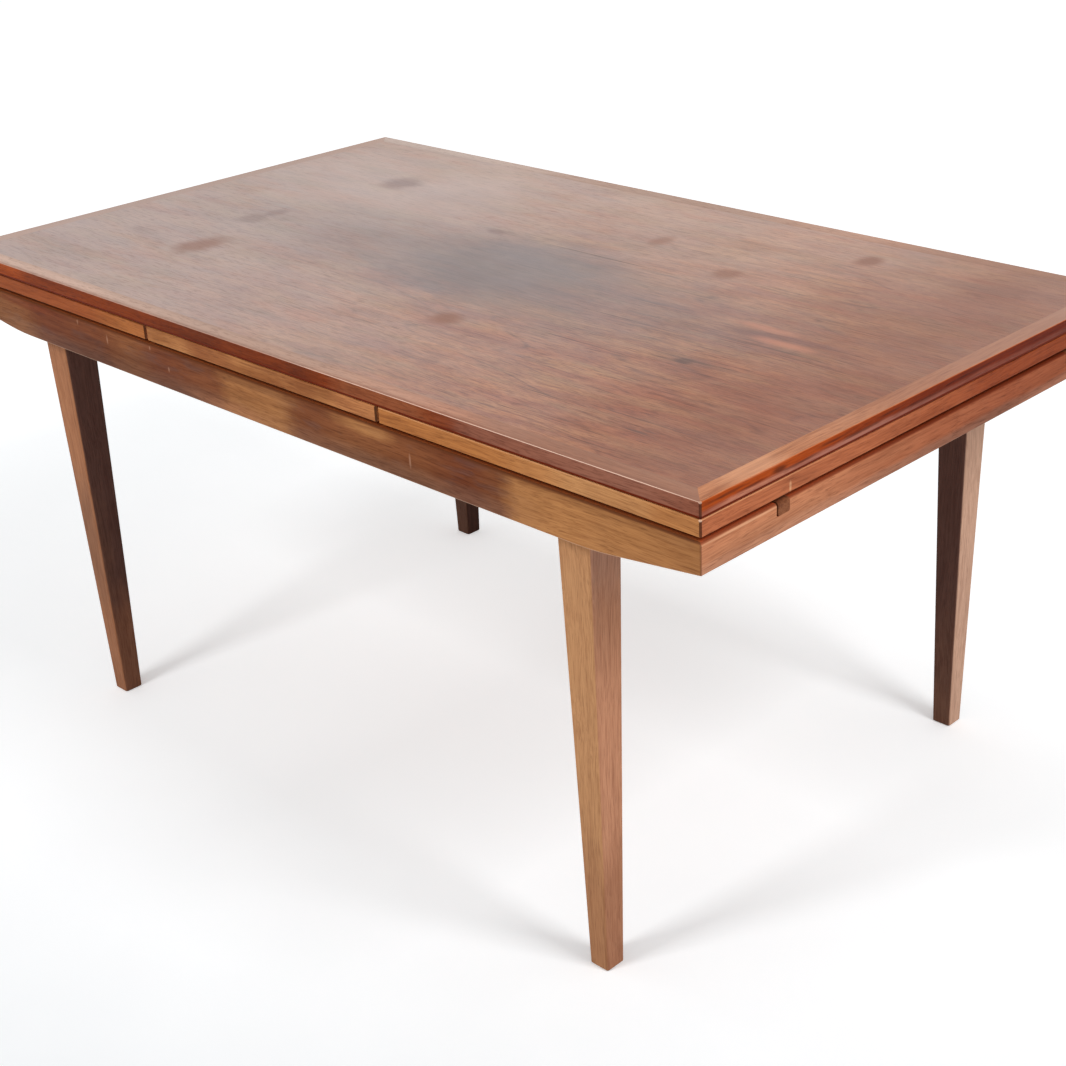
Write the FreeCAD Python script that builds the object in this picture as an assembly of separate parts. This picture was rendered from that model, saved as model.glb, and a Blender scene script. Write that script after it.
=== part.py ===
import FreeCAD, Part

import math
import os

from FreeCAD import Rotation, Vector

# Draw leaf table, in millimetres.
# The origin lies on the floor under the middle of the top. X runs along the length, the way the
# leaves are drawn, Y runs across the table with the front at -Y, and Z points up.

# Overall
TABLE_LENGTH = 1520.0
TABLE_DEPTH = 880.0
TABLE_HEIGHT = 730.0

# Boards: the loose main top over a layer of two leaves and a fixed centre board
TOP_THICKNESS = 19.5
LEAF_THICKNESS = 20.5
CENTRE_BOARD_LENGTH = 488.0
LEAF_GAP = 3.5              # between a closed leaf and the centre board
LIPPING_WIDTH = 26.0
BOARD_CORNER_EASE = 2.2     # flat on the upright corner arris
BOARD_ARRIS_RADIUS = 1.3

# Felt strips between the centre board and the main top
FELT_THICKNESS = 1.0
FELT_WIDTH = 24.0
FELT_LENGTH = 820.0
FELT_SETBACK = 20.0         # from the centre board's edge

# Locating pegs under the main top
PEG_DIAMETER = 22.0
PEG_SIDES = 12
PEG_SOCKET_DEPTH = 9.0
PEG_LENGTH = 30.0           # below the main top
PEG_SPACING = 300.0
PEG_TIP_CHAMFER = 4.0
PEG_CLEARANCE = 0.75
PEG_SOCKET_CLEARANCE = 0.05

# Underframe
FRAME_INSET = 1.0           # from the edge of the top to the face of the aprons
FRAME_DROP = 6.5            # from the underside of the leaves to the top of the aprons
APRON_THICKNESS = 24.0
END_APRON_HEIGHT = 39.0
SIDE_APRON_HEIGHT = 58.0    # between the raised ends
APRON_RISE_LENGTH = 157.0   # of each raised end of a side apron
APRON_RISE_RADIUS = 500.0
APRON_TOP_ROUND = 4.0
APRON_LOWER_ROUND = 2.0
FRAME_CORNER_EASE = 1.6

# Rails across the frame, tenoned into the side aprons
RAIL_THICKNESS = 22.0
CROSS_RAIL_HEIGHT = 60.0
CENTRE_RAIL_DEPTH = 44.0
CENTRE_RAIL_SETBACK = 67.0  # from the centre board's edge to the middle of the rail
TENON_LENGTH = 12.0
TENON_THICKNESS = 10.0
TENON_SHOULDER = 9.0        # above and below the tenon

# Legs
LEG_SETBACK = 212.0         # from the end of the frame to the middle of the leg
LEG_TOP_SIDE = 54.0
LEG_FOOT_SIDE = 31.0
LEG_TOP_ARRIS = 4.5
LEG_FOOT_ARRIS = 3.5
FOOT_CHAMFER = 1.5

# Leg bolts, through the cross rails
BOLT_DIAMETER = 8.0
BOLT_GRIP = 36.0            # length inside the leg
BOLT_SPACING = 30.0
BOLT_HOLE_CLEARANCE = 0.1
BOLT_TAIL = 3.0             # beyond the nut
BOLT_HOLE_DIAMETER = BOLT_DIAMETER + 2 * BOLT_HOLE_CLEARANCE
WASHER_DIAMETER = 20.0
WASHER_THICKNESS = 1.6
NUT_ACROSS_FLATS = 13.0
NUT_HEIGHT = 6.5

# Bearers, two to a leaf; those of the right leaf run outside those of the left leaf
BEARER_WIDTH = 20.0
BEARER_HEIGHT = 22.5
BEARER_LENGTH = 1060.0
BEARER_ROUND = 2.5
BEARER_LEAD = 8.0           # bevel under the inner end
BEARER_NOSE_LENGTH = 26.0   # outer end, cut down level with the aprons
BEARER_RELIEF = 0.6         # the free part passes this far below the other leaf
OUTER_BEARER_Y = 299.5
BEARER_PITCH = 32.0
NOTCH_CLEARANCE = 2.9       # on the outer side of a bearer
NOTCH_RUNNING_GAP = 0.3     # on its inner side
NOTCH_ROUND = 2.5

# Stop pins in the bearers, which meet the cross rails when a leaf is fully drawn
STOP_PIN_DIAMETER = 8.0
STOP_PIN_DEPTH = 11.0       # inside the bearer
STOP_PIN_REACH = 9.0        # beside the bearer
STOP_PIN_CLEARANCE = 0.5

# Small fasteners and the holes that hold them have flat sides
FASTENER_SIDES = 8

# Wood screws
SCREW_DIAMETER = 4.0
SCREW_HEAD_DIAMETER = 8.0
SCREW_HEAD_HEIGHT = 2.6
SCREW_TIP_DIAMETER = 2.0
SCREW_HOLE_CLEARANCE = 0.05
SCREW_BITE = 13.0           # length in the second piece
COUNTERBORE_DIAMETER = 9.5
BEARER_COUNTERBORE = 8.0
BEARER_SCREWS = 3
BEARER_SCREW_MARGIN = 60.0  # from the leaf's edges to the first and last screw
RAIL_COUNTERBORE = 18.0
RAIL_SCREWS = 3
RAIL_SCREW_SPACING = 180.0

# Glue blocks in the corners of the frame
BLOCK_SIDE = 62.0
BLOCK_HEIGHT = 30.0
BLOCK_DROP = 6.0            # below the top of the aprons

# Levels
TOP_UNDERSIDE = TABLE_HEIGHT - TOP_THICKNESS
LEAF_TOP = TOP_UNDERSIDE - FELT_THICKNESS
LEAF_UNDERSIDE = LEAF_TOP - LEAF_THICKNESS
FRAME_TOP = LEAF_UNDERSIDE - FRAME_DROP
END_APRON_UNDERSIDE = FRAME_TOP - END_APRON_HEIGHT
SIDE_APRON_UNDERSIDE = FRAME_TOP - SIDE_APRON_HEIGHT
BEARER_UNDERSIDE = LEAF_UNDERSIDE - BEARER_HEIGHT

# Places in plan
HALF_LENGTH = TABLE_LENGTH / 2
HALF_DEPTH = TABLE_DEPTH / 2
FRAME_X = HALF_LENGTH - FRAME_INSET
FRAME_Y = HALF_DEPTH - FRAME_INSET
FRAME_INNER_X = FRAME_X - APRON_THICKNESS
FRAME_INNER_Y = FRAME_Y - APRON_THICKNESS
CENTRE_BOARD_X = CENTRE_BOARD_LENGTH / 2
LEAF_INNER_X = CENTRE_BOARD_X + LEAF_GAP
LEAF_TRAVEL = HALF_LENGTH - LEAF_INNER_X
LEG_X = FRAME_X - LEG_SETBACK
LEG_Y = FRAME_INNER_Y - LEG_TOP_SIDE / 2
CROSS_RAIL_X = LEG_X - LEG_TOP_SIDE / 2 - RAIL_THICKNESS / 2
CENTRE_RAIL_X = CENTRE_BOARD_X - CENTRE_RAIL_SETBACK
INNER_BEARER_Y = OUTER_BEARER_Y - BEARER_PITCH
BEARER_INNER_X = FRAME_X - BEARER_LENGTH
BEARER_YS = {"left": INNER_BEARER_Y, "right": OUTER_BEARER_Y}
SIDES = {"left": -1, "right": 1}
FACES = {"front": -1, "back": 1}


def box(x0, x1, y0, y1, z0, z1):
    """Box between two opposite corners, given in rising order."""
    return Part.makeBox(x1 - x0, y1 - y0, z1 - z0, Vector(x0, y0, z0))


def prism(points, extrusion):
    """Straight prism over a closed polygon of points."""
    outline = Part.makePolygon(points + points[:1])
    return Part.Face(outline).extrude(extrusion)


def across(shape):
    """Mirror image on the other side of the table's long middle line."""
    return shape.mirror(Vector(0, 0, 0), Vector(0, 1, 0))


def end_for_end(shape):
    """Mirror image at the other end of the table."""
    return shape.mirror(Vector(0, 0, 0), Vector(1, 0, 0))


def edges_where(shape, test):
    """Edges whose every vertex passes the test."""
    return [edge for edge in shape.Edges if all(test(v.Point) for v in edge.Vertexes)]


def near(value, target):
    """True where two lengths agree to a hundredth of a millimetre."""
    return abs(value - target) < 0.01


def eased_plan(half_x, half_y, ease, middle_x=0):
    """Rectangle in plan with a small flat across each corner."""
    right, back = half_x - ease, half_y - ease
    loop = [(half_x, back), (right, half_y), (-right, half_y), (-half_x, back)]
    loop += [(-x, -y) for x, y in loop]
    return [Vector(middle_x + x, y, 0) for x, y in loop]


def eased_board(x0, x1, z0, z1):
    """Full-depth board with lightly rounded arrises and eased upright corners."""
    board = box(x0, x1, -HALF_DEPTH, HALF_DEPTH, z0, z1)
    level = [edge for edge in board.Edges if not near(edge.Length, z1 - z0)]
    board = board.makeFillet(BOARD_ARRIS_RADIUS, level)
    plan = eased_plan((x1 - x0) / 2, HALF_DEPTH, BOARD_CORNER_EASE, (x0 + x1) / 2)
    return board.common(prism(plan, Vector(0, 0, z1)))


def panel_and_lippings(x0, x1, z0, z1):
    """Panel and its four mitred solid-wood lippings, named by the edge that they cover."""
    board = eased_board(x0, x1, z0, z1)
    y0, y1 = -HALF_DEPTH, HALF_DEPTH
    left, right = x0 + LIPPING_WIDTH, x1 - LIPPING_WIDTH
    front, back = y0 + LIPPING_WIDTH, y1 - LIPPING_WIDTH
    plans = {
        "lipping_front": [(x0, y0), (x1, y0), (right, front), (left, front)],
        "lipping_right": [(x1, y0), (x1, y1), (right, back), (right, front)],
        "lipping_back": [(x1, y1), (x0, y1), (left, back), (right, back)],
        "lipping_left": [(x0, y1), (x0, y0), (left, front), (left, back)],
    }
    pieces = {"panel": box(left, right, front, back, z0, z1)}
    for name, plan in plans.items():
        corners = [Vector(x, y, z0) for x, y in plan]
        pieces[name] = board.common(prism(corners, Vector(0, 0, z1 - z0)))
    return pieces


def flat_sided(stations, base, direction, sides=FASTENER_SIDES):
    """Flat-sided spindle through (height, diameter) stations along a direction."""
    turns = [Rotation(Vector(0, 0, 1), 360 * n / sides) for n in range(sides + 1)]
    wires = []
    for height, diameter in stations:
        corner = Vector(diameter / 2, 0, height)
        wires.append(Part.makePolygon([turn.multVec(corner) for turn in turns]))
    spindle = Part.makeLoft(wires, True, True)
    spindle.Placement = FreeCAD.Placement(base, Rotation(Vector(0, 0, 1), direction))
    return spindle


def bar(diameter, start, end):
    """Flat-sided bar between two points, for a small fastener or its hole."""
    axis = end - start
    return flat_sided([(0, diameter), (axis.Length, diameter)], start, axis)


def wood_screw(head, direction, length, grown=0):
    """Countersunk screw from the middle of its head; grown makes it the tool of its own hole."""
    shank = SCREW_DIAMETER + 2 * grown
    stations = [
        (0, SCREW_HEAD_DIAMETER + 2 * grown),
        (SCREW_HEAD_HEIGHT, shank),
        (length, SCREW_TIP_DIAMETER + 2 * grown),
    ]
    return flat_sided(stations, head, direction)


def screw_pair(entry, direction, counterbore, thickness):
    """A screw that clamps a piece of the given thickness, and the tool that cuts its hole."""
    length = thickness - counterbore + SCREW_BITE
    head = entry + direction * counterbore
    hole = bar(COUNTERBORE_DIAMETER, entry, head)
    hole = hole.fuse(wood_screw(head, direction, length, SCREW_HOLE_CLEARANCE))
    return wood_screw(head, direction, length), hole


# Aprons

def frame_quarter_plan(edge):
    """Mitred outline of one side of the frame in plan."""
    outer = {
        "front": (Vector(-FRAME_X, -FRAME_Y), Vector(FRAME_X, -FRAME_Y)),
        "right": (Vector(FRAME_X, -FRAME_Y), Vector(FRAME_X, FRAME_Y)),
    }[edge]
    inner = {
        "front": (Vector(FRAME_INNER_X, -FRAME_INNER_Y), Vector(-FRAME_INNER_X, -FRAME_INNER_Y)),
        "right": (Vector(FRAME_INNER_X, FRAME_INNER_Y), Vector(FRAME_INNER_X, -FRAME_INNER_Y)),
    }[edge]
    return list(outer + inner)


def mitred(shape, edge):
    """Cut a rail to the mitred plan and to the eased corners of the frame."""
    rise = Vector(0, 0, FRAME_TOP)
    plan = prism(frame_quarter_plan(edge), rise)
    outline = prism(eased_plan(FRAME_X, FRAME_Y, FRAME_CORNER_EASE), rise)
    return shape.common(plan).common(outline)


def side_apron_front():
    """Front apron: boat-shaped lower edge, rounded arrises, mortises for the rails."""
    bend = FRAME_X - APRON_RISE_LENGTH
    outline = [
        Vector(-FRAME_X, -FRAME_Y, FRAME_TOP),
        Vector(-FRAME_X, -FRAME_Y, END_APRON_UNDERSIDE),
        Vector(-bend, -FRAME_Y, SIDE_APRON_UNDERSIDE),
        Vector(bend, -FRAME_Y, SIDE_APRON_UNDERSIDE),
        Vector(FRAME_X, -FRAME_Y, END_APRON_UNDERSIDE),
        Vector(FRAME_X, -FRAME_Y, FRAME_TOP),
    ]
    apron = prism(outline, Vector(0, APRON_THICKNESS, 0))
    bends = edges_where(apron, lambda p: near(abs(p.x), bend))
    apron = apron.makeFillet(APRON_RISE_RADIUS, [e for e in bends if near(e.Length, APRON_THICKNESS)])
    upper = edges_where(apron, lambda p: near(p.y, -FRAME_Y) and near(p.z, FRAME_TOP))
    apron = apron.makeFillet(APRON_TOP_ROUND, upper)
    lower = edges_where(
        apron, lambda p: near(p.y, -FRAME_Y) and p.z < END_APRON_UNDERSIDE + APRON_LOWER_ROUND / 2
    )
    apron = mitred(apron.makeFillet(APRON_LOWER_ROUND, lower), "front")
    for x, underside, top in rail_stations():
        apron = apron.cut(tenon(x, underside, top))
    return apron


def end_apron_right():
    """Plain straight end apron with rounded arrises, before its notches are cut."""
    apron = box(FRAME_INNER_X, FRAME_X, -FRAME_Y, FRAME_Y, END_APRON_UNDERSIDE, FRAME_TOP)
    upper = edges_where(apron, lambda p: near(p.x, FRAME_X) and near(p.z, FRAME_TOP))
    lower = edges_where(apron, lambda p: near(p.x, FRAME_X) and near(p.z, END_APRON_UNDERSIDE))
    apron = apron.makeFillet(APRON_TOP_ROUND, upper).makeFillet(APRON_LOWER_ROUND, lower)
    return mitred(apron, "right")


def bearer_notches(x, side):
    """The two notches that guide the bearers of one leaf through an end apron or cross rail."""
    inner = BEARER_YS[side] - BEARER_WIDTH / 2 - NOTCH_RUNNING_GAP
    outer = BEARER_YS[side] + BEARER_WIDTH / 2 + NOTCH_CLEARANCE
    wall = (x - APRON_THICKNESS, x + APRON_THICKNESS)
    notch = box(*wall, inner, outer, BEARER_UNDERSIDE, LEAF_UNDERSIDE)
    corners = edges_where(notch, lambda p: near(p.z, BEARER_UNDERSIDE))
    corners = [edge for edge in corners if near(edge.Length, 2 * APRON_THICKNESS)]
    notch = notch.makeFillet(NOTCH_ROUND, corners)
    return [notch, across(notch)]


def end_aprons():
    """Both end aprons, each notched for the bearers of its own leaf."""
    plain = {"right": end_apron_right()}
    plain["left"] = end_for_end(plain["right"])
    aprons = {}
    for side, sign in SIDES.items():
        middle_x = sign * (FRAME_X - APRON_THICKNESS / 2)
        aprons["end_apron_" + side] = plain[side].cut(bearer_notches(middle_x, side))
    return aprons


# Rails

def rail_stations():
    """Middle, underside and upper edge of each rail along the frame."""
    cross = (SIDE_APRON_UNDERSIDE, SIDE_APRON_UNDERSIDE + CROSS_RAIL_HEIGHT)
    centre = (LEAF_UNDERSIDE - CENTRE_RAIL_DEPTH, LEAF_UNDERSIDE)
    return [
        (-CROSS_RAIL_X, *cross),
        (-CENTRE_RAIL_X, *centre),
        (CENTRE_RAIL_X, *centre),
        (CROSS_RAIL_X, *cross),
    ]


def tenon(x, underside, top):
    """Through-rail tenon bar, which reaches into both side aprons."""
    reach = FRAME_INNER_Y + TENON_LENGTH
    half = TENON_THICKNESS / 2
    upper = min(top, FRAME_TOP) - TENON_SHOULDER
    return box(x - half, x + half, -reach, reach, underside + TENON_SHOULDER, upper)


def plain_rail(x, underside, top):
    """Rail between the side aprons with a tenon at each end."""
    half = RAIL_THICKNESS / 2
    body = box(x - half, x + half, -FRAME_INNER_Y, FRAME_INNER_Y, underside, top)
    return body.fuse(tenon(x, underside, top)).removeSplitter()


def cross_rail(station, side):
    """Rail beside a pair of legs: notched for the bearers and bored for the leg bolts."""
    rail = plain_rail(*station).cut(bearer_notches(station[0], side))
    return rail.cut([hole for _, hole in leg_bolts_of(side)])


def centre_rail(station):
    """Rail under the centre board, with one wide notch for each pair of neighbouring bearers."""
    x, _, top = station
    reach = BEARER_WIDTH / 2 + NOTCH_CLEARANCE + STOP_PIN_REACH
    wall = (x - RAIL_THICKNESS, x + RAIL_THICKNESS)
    wide = box(*wall, INNER_BEARER_Y - reach, OUTER_BEARER_Y + reach, BEARER_UNDERSIDE, top)
    return plain_rail(*station).cut([wide, across(wide)])


# Legs and their bolts

def rounded_square(side, radius, x, y, z):
    """Closed wire of a square with rounded corners about a point."""
    half = side / 2
    straight = half - radius
    points, edges = [], []
    for quarter in range(4):
        turn = Rotation(Vector(0, 0, 1), 90 * quarter)
        start = turn.multVec(Vector(half, -straight, 0))
        end = turn.multVec(Vector(half, straight, 0))
        middle = turn.multVec(Vector(straight, straight, 0))
        middle += turn.multVec(Vector(1, 1, 0)).normalize() * radius
        points.append((start, end, middle))
    centre = Vector(x, y, z)
    for quarter, (start, end, middle) in enumerate(points):
        following = points[(quarter + 1) % 4][0]
        edges.append(Part.LineSegment(start + centre, end + centre).toShape())
        edges.append(Part.Arc(end + centre, middle + centre, following + centre).toShape())
    return Part.Wire(edges)


def leg(sign_x, sign_y):
    """Square leg: a straight block behind the apron, then an even taper to a chamfered foot."""
    x, y = sign_x * LEG_X, sign_y * LEG_Y
    sole = rounded_square(LEG_FOOT_SIDE - 2 * FOOT_CHAMFER, LEG_FOOT_ARRIS, x, y, 0)
    foot = rounded_square(LEG_FOOT_SIDE, LEG_FOOT_ARRIS, x, y, FOOT_CHAMFER)
    knee = rounded_square(LEG_TOP_SIDE, LEG_TOP_ARRIS, x, y, SIDE_APRON_UNDERSIDE)
    head = rounded_square(LEG_TOP_SIDE, LEG_TOP_ARRIS, x, y, FRAME_TOP)
    return Part.makeLoft([sole, foot, knee, head], True, True)


def bolt_heights():
    """Heights of the two bolts of a leg."""
    middle = SIDE_APRON_UNDERSIDE + CROSS_RAIL_HEIGHT / 2
    return [middle - BOLT_SPACING / 2, middle + BOLT_SPACING / 2]


def leg_bolts_of(side):
    """Bolts of the legs at one end, each with the tool that cuts its hole."""
    sign = SIDES[side]
    leg_face = sign * (LEG_X - LEG_TOP_SIDE / 2)
    inward = RAIL_THICKNESS + WASHER_THICKNESS + NUT_HEIGHT + BOLT_TAIL
    start = leg_face + sign * BOLT_GRIP
    end = leg_face - sign * inward
    pairs = []
    for y in (-LEG_Y, LEG_Y):
        for z in bolt_heights():
            run = (Vector(start, y, z), Vector(end, y, z))
            bolt_and_hole = bar(BOLT_DIAMETER, *run), bar(BOLT_HOLE_DIAMETER, *run)
            pairs.append(bolt_and_hole)
    return pairs


def legs():
    """Four bored legs, named by their corner."""
    pieces = {}
    for face, sign_y in FACES.items():
        for side, sign_x in SIDES.items():
            holes = [hole for _, hole in leg_bolts_of(side)]
            pieces["leg_" + face + "_" + side] = leg(sign_x, sign_y).cut(holes)
    return pieces


def hexagon_nut(base, direction):
    """Hexagon nut on a bolt, from the middle of its inner face."""
    corner = Vector(NUT_ACROSS_FLATS / 2 / math.cos(math.radians(30)), 0, 0)
    turns = [Rotation(Vector(0, 0, 1), 60 * step) for step in range(6)]
    nut = prism([turn.multVec(corner) for turn in turns], Vector(0, 0, NUT_HEIGHT))
    nut = nut.cut(bar(BOLT_HOLE_DIAMETER, Vector(0, 0, 0), Vector(0, 0, NUT_HEIGHT)))
    nut.Placement = FreeCAD.Placement(base, Rotation(Vector(0, 0, 1), direction))
    return nut


def leg_fasteners():
    """Bolts, washers and nuts of all legs, each kind as one group."""
    groups = {"leg_bolts": [], "leg_washers": [], "leg_nuts": []}
    for side, sign in SIDES.items():
        groups["leg_bolts"] += [bolt for bolt, _ in leg_bolts_of(side)]
        rail_face = sign * (CROSS_RAIL_X - RAIL_THICKNESS / 2)
        inward = Vector(-sign, 0, 0)
        for y in (-LEG_Y, LEG_Y):
            for z in bolt_heights():
                seat = Vector(rail_face, y, z)
                washer_end = seat + inward * WASHER_THICKNESS
                washer = bar(WASHER_DIAMETER, seat, washer_end)
                washer = washer.cut(bar(BOLT_HOLE_DIAMETER, seat, washer_end))
                groups["leg_washers"].append(washer)
                groups["leg_nuts"].append(hexagon_nut(washer_end, inward))
    return {name: Part.makeCompound(solids) for name, solids in groups.items()}


# Corner blocks

def corner_blocks():
    """Triangular glue block in each corner of the frame."""
    top = FRAME_TOP - BLOCK_DROP
    x, y = FRAME_INNER_X, -FRAME_INNER_Y
    corners = [
        Vector(x, y, top - BLOCK_HEIGHT),
        Vector(x, y + BLOCK_SIDE, top - BLOCK_HEIGHT),
        Vector(x - BLOCK_SIDE, y, top - BLOCK_HEIGHT),
    ]
    block = prism(corners, Vector(0, 0, BLOCK_HEIGHT))
    front = [block, end_for_end(block)]
    return Part.makeCompound(front + [across(copy) for copy in front])


# Boards

def peg_places(level):
    """Middles of the two locating pegs at a level."""
    return [Vector(0, y, level) for y in (-PEG_SPACING / 2, PEG_SPACING / 2)]


def peg_hole(place, clearance, depth):
    """Tool that cuts the hole of a peg upwards from a place."""
    diameter = PEG_DIAMETER + 2 * clearance
    return flat_sided([(0, diameter), (depth, diameter)], place, Vector(0, 0, 1), PEG_SIDES)


def locating_pegs():
    """Two wooden pegs under the main top, chamfered at the tip."""
    stations = [
        (0, PEG_DIAMETER - 2 * PEG_TIP_CHAMFER),
        (PEG_TIP_CHAMFER, PEG_DIAMETER),
        (PEG_LENGTH + PEG_SOCKET_DEPTH, PEG_DIAMETER),
    ]
    tips = peg_places(TOP_UNDERSIDE - PEG_LENGTH)
    return [flat_sided(stations, tip, Vector(0, 0, 1), PEG_SIDES) for tip in tips]


def main_top():
    """Loose main top: panel with sockets, mitred lippings and locating pegs."""
    pieces = panel_and_lippings(-HALF_LENGTH, HALF_LENGTH, TOP_UNDERSIDE, TABLE_HEIGHT)
    for place in peg_places(TOP_UNDERSIDE):
        socket = peg_hole(place, PEG_SOCKET_CLEARANCE, PEG_SOCKET_DEPTH)
        pieces["panel"] = pieces["panel"].cut(socket)
    named = {"main_top_" + name: piece for name, piece in pieces.items()}
    named["main_top_pegs"] = Part.makeCompound(locating_pegs())
    return named


def centre_board_fixings(stations):
    """Screws that hold the centre board to its rails, each with the tool of its hole."""
    pairs = []
    first = -RAIL_SCREW_SPACING * (RAIL_SCREWS - 1) / 2
    for x, underside, top in stations:
        for index in range(RAIL_SCREWS):
            entry = Vector(x, first + index * RAIL_SCREW_SPACING, underside)
            pairs.append(screw_pair(entry, Vector(0, 0, 1), RAIL_COUNTERBORE, top - underside))
    return pairs


def centre_board(holes):
    """Fixed centre board: panel with peg holes, and a lipping on its front and back edge."""
    board = eased_board(-CENTRE_BOARD_X, CENTRE_BOARD_X, LEAF_UNDERSIDE, LEAF_TOP)
    seam = HALF_DEPTH - LIPPING_WIDTH
    span = (LEAF_UNDERSIDE, LEAF_TOP)
    lipping = board.common(box(-HALF_LENGTH, HALF_LENGTH, -HALF_DEPTH, -seam, *span))
    panel = board.common(box(-HALF_LENGTH, HALF_LENGTH, -seam, seam, *span))
    for place in peg_places(LEAF_UNDERSIDE):
        panel = panel.cut(peg_hole(place, PEG_CLEARANCE, LEAF_THICKNESS))
    return {
        "centre_board_panel": panel.cut(holes),
        "centre_board_lipping_front": lipping,
        "centre_board_lipping_back": across(lipping),
    }


def felt_strips():
    """Felt strips that the main top lies on."""
    x1 = CENTRE_BOARD_X - FELT_SETBACK
    y = FELT_LENGTH / 2
    strip = box(x1 - FELT_WIDTH, x1, -y, y, LEAF_TOP, LEAF_TOP + FELT_THICKNESS)
    return Part.makeCompound([strip, end_for_end(strip)])


# Leaves

def bearer(y):
    """Bearer of the right leaf: rounded below, cut down at the apron and bevelled inside."""
    free_top = LEAF_UNDERSIDE - BEARER_RELIEF
    shoulder = FRAME_X - BEARER_NOSE_LENGTH
    outline = [
        (FRAME_X, BEARER_UNDERSIDE),
        (FRAME_X, FRAME_TOP),
        (shoulder, FRAME_TOP),
        (shoulder - FRAME_DROP, LEAF_UNDERSIDE),
        (LEAF_INNER_X, LEAF_UNDERSIDE),
        (LEAF_INNER_X, free_top),
        (BEARER_INNER_X, free_top),
        (BEARER_INNER_X, BEARER_UNDERSIDE + BEARER_LEAD),
        (BEARER_INNER_X + 2 * BEARER_LEAD, BEARER_UNDERSIDE),
    ]
    side = [Vector(x, y - BEARER_WIDTH / 2, z) for x, z in outline]
    beam = prism(side, Vector(0, BEARER_WIDTH, 0))
    lower = edges_where(beam, lambda p: near(p.z, BEARER_UNDERSIDE))
    beam = beam.makeFillet(BEARER_ROUND, [e for e in lower if e.Length > BEARER_WIDTH + 1])
    upper_end = edges_where(beam, lambda p: near(p.x, FRAME_X) and near(p.z, FRAME_TOP))
    return beam.makeFillet(APRON_TOP_ROUND, upper_end)


def stop_pin(y, outward):
    """Pin across a bearer of the right leaf; outward is the side on which it stands out."""
    x = CROSS_RAIL_X - RAIL_THICKNESS / 2 - STOP_PIN_CLEARANCE - STOP_PIN_DIAMETER / 2 - LEAF_TRAVEL
    z = BEARER_UNDERSIDE + BEARER_HEIGHT / 2
    face = y + outward * BEARER_WIDTH / 2
    start = Vector(x, face - outward * STOP_PIN_DEPTH, z)
    end = Vector(x, face + outward * STOP_PIN_REACH, z)
    return bar(STOP_PIN_DIAMETER, start, end)


def bearer_screws(y):
    """Screws up through a bearer of the right leaf, each with the tool of its hole."""
    first = LEAF_INNER_X + BEARER_SCREW_MARGIN
    last = HALF_LENGTH - BEARER_SCREW_MARGIN
    pitch = (last - first) / (BEARER_SCREWS - 1)
    entries = [Vector(first + index * pitch, y, BEARER_UNDERSIDE) for index in range(BEARER_SCREWS)]
    up = Vector(0, 0, 1)
    return [screw_pair(entry, up, BEARER_COUNTERBORE, BEARER_HEIGHT) for entry in entries]


def right_hand_leaf(side):
    """All pieces of a leaf, drawn as if it were the right one, with the bearers of its own side."""
    pieces = panel_and_lippings(LEAF_INNER_X, HALF_LENGTH, LEAF_UNDERSIDE, LEAF_TOP)
    y = -BEARER_YS[side]
    outward = -1 if side == "right" else 1
    pin = stop_pin(y, outward)
    fixings = bearer_screws(y)
    holes = [hole for _, hole in fixings]
    front = bearer(y).cut(holes + [pin])
    pieces["panel"] = pieces["panel"].cut(holes + [across(hole) for hole in holes])
    pieces["bearer_front"] = front
    pieces["bearer_back"] = across(front)
    pieces["stop_pins"] = Part.makeCompound([pin, across(pin)])
    screws = [screw for screw, _ in fixings]
    pieces["screws"] = Part.makeCompound(screws + [across(screw) for screw in screws])
    return pieces


def leaves():
    """Both leaves; the left one is the mirror image, so its end lippings change names."""
    named = {"leaf_right_" + name: piece for name, piece in right_hand_leaf("right").items()}
    swap = {"lipping_left": "lipping_right", "lipping_right": "lipping_left"}
    for name, piece in right_hand_leaf("left").items():
        named["leaf_left_" + swap.get(name, name)] = end_for_end(piece)
    return named


def underframe():
    """Aprons, rails, legs, corner blocks, centre board and their fastenings."""
    stations = rail_stations()
    fixings = centre_board_fixings(stations[1:3])
    holes = [hole for _, hole in fixings]
    front = side_apron_front()
    pieces = {"side_apron_front": front, "side_apron_back": across(front), **end_aprons()}
    pieces["cross_rail_left"] = cross_rail(stations[0], "left")
    pieces["cross_rail_right"] = cross_rail(stations[3], "right")
    pieces["centre_rail_left"] = centre_rail(stations[1]).cut(holes)
    pieces["centre_rail_right"] = centre_rail(stations[2]).cut(holes)
    pieces["corner_blocks"] = corner_blocks()
    pieces["centre_board_screws"] = Part.makeCompound([screw for screw, _ in fixings])
    pieces["felt_strips"] = felt_strips()
    pieces.update(centre_board(holes))
    pieces.update(legs())
    pieces.update(leg_fasteners())
    return pieces


def main():
    """Write one STEP file for each sub-part."""
    os.makedirs("parts", exist_ok=True)
    pieces = {**underframe(), **leaves(), **main_top()}
    for name, shape in sorted(pieces.items()):
        shape.exportStep("parts/" + name + ".step")
        print(name, len(shape.Solids), "solids", round(shape.Volume / 1000, 1), "cm3")
    print(len(pieces), "nodes")


main()
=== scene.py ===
"""Looks of a draw leaf table: its wood finishes, its hardware, the studio and the camera."""

import logging
import math
from abc import ABC, abstractmethod
from dataclasses import dataclass, field
from enum import Enum, IntEnum
from typing import ClassVar

import bpy
from mathutils import Matrix, Vector


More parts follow.
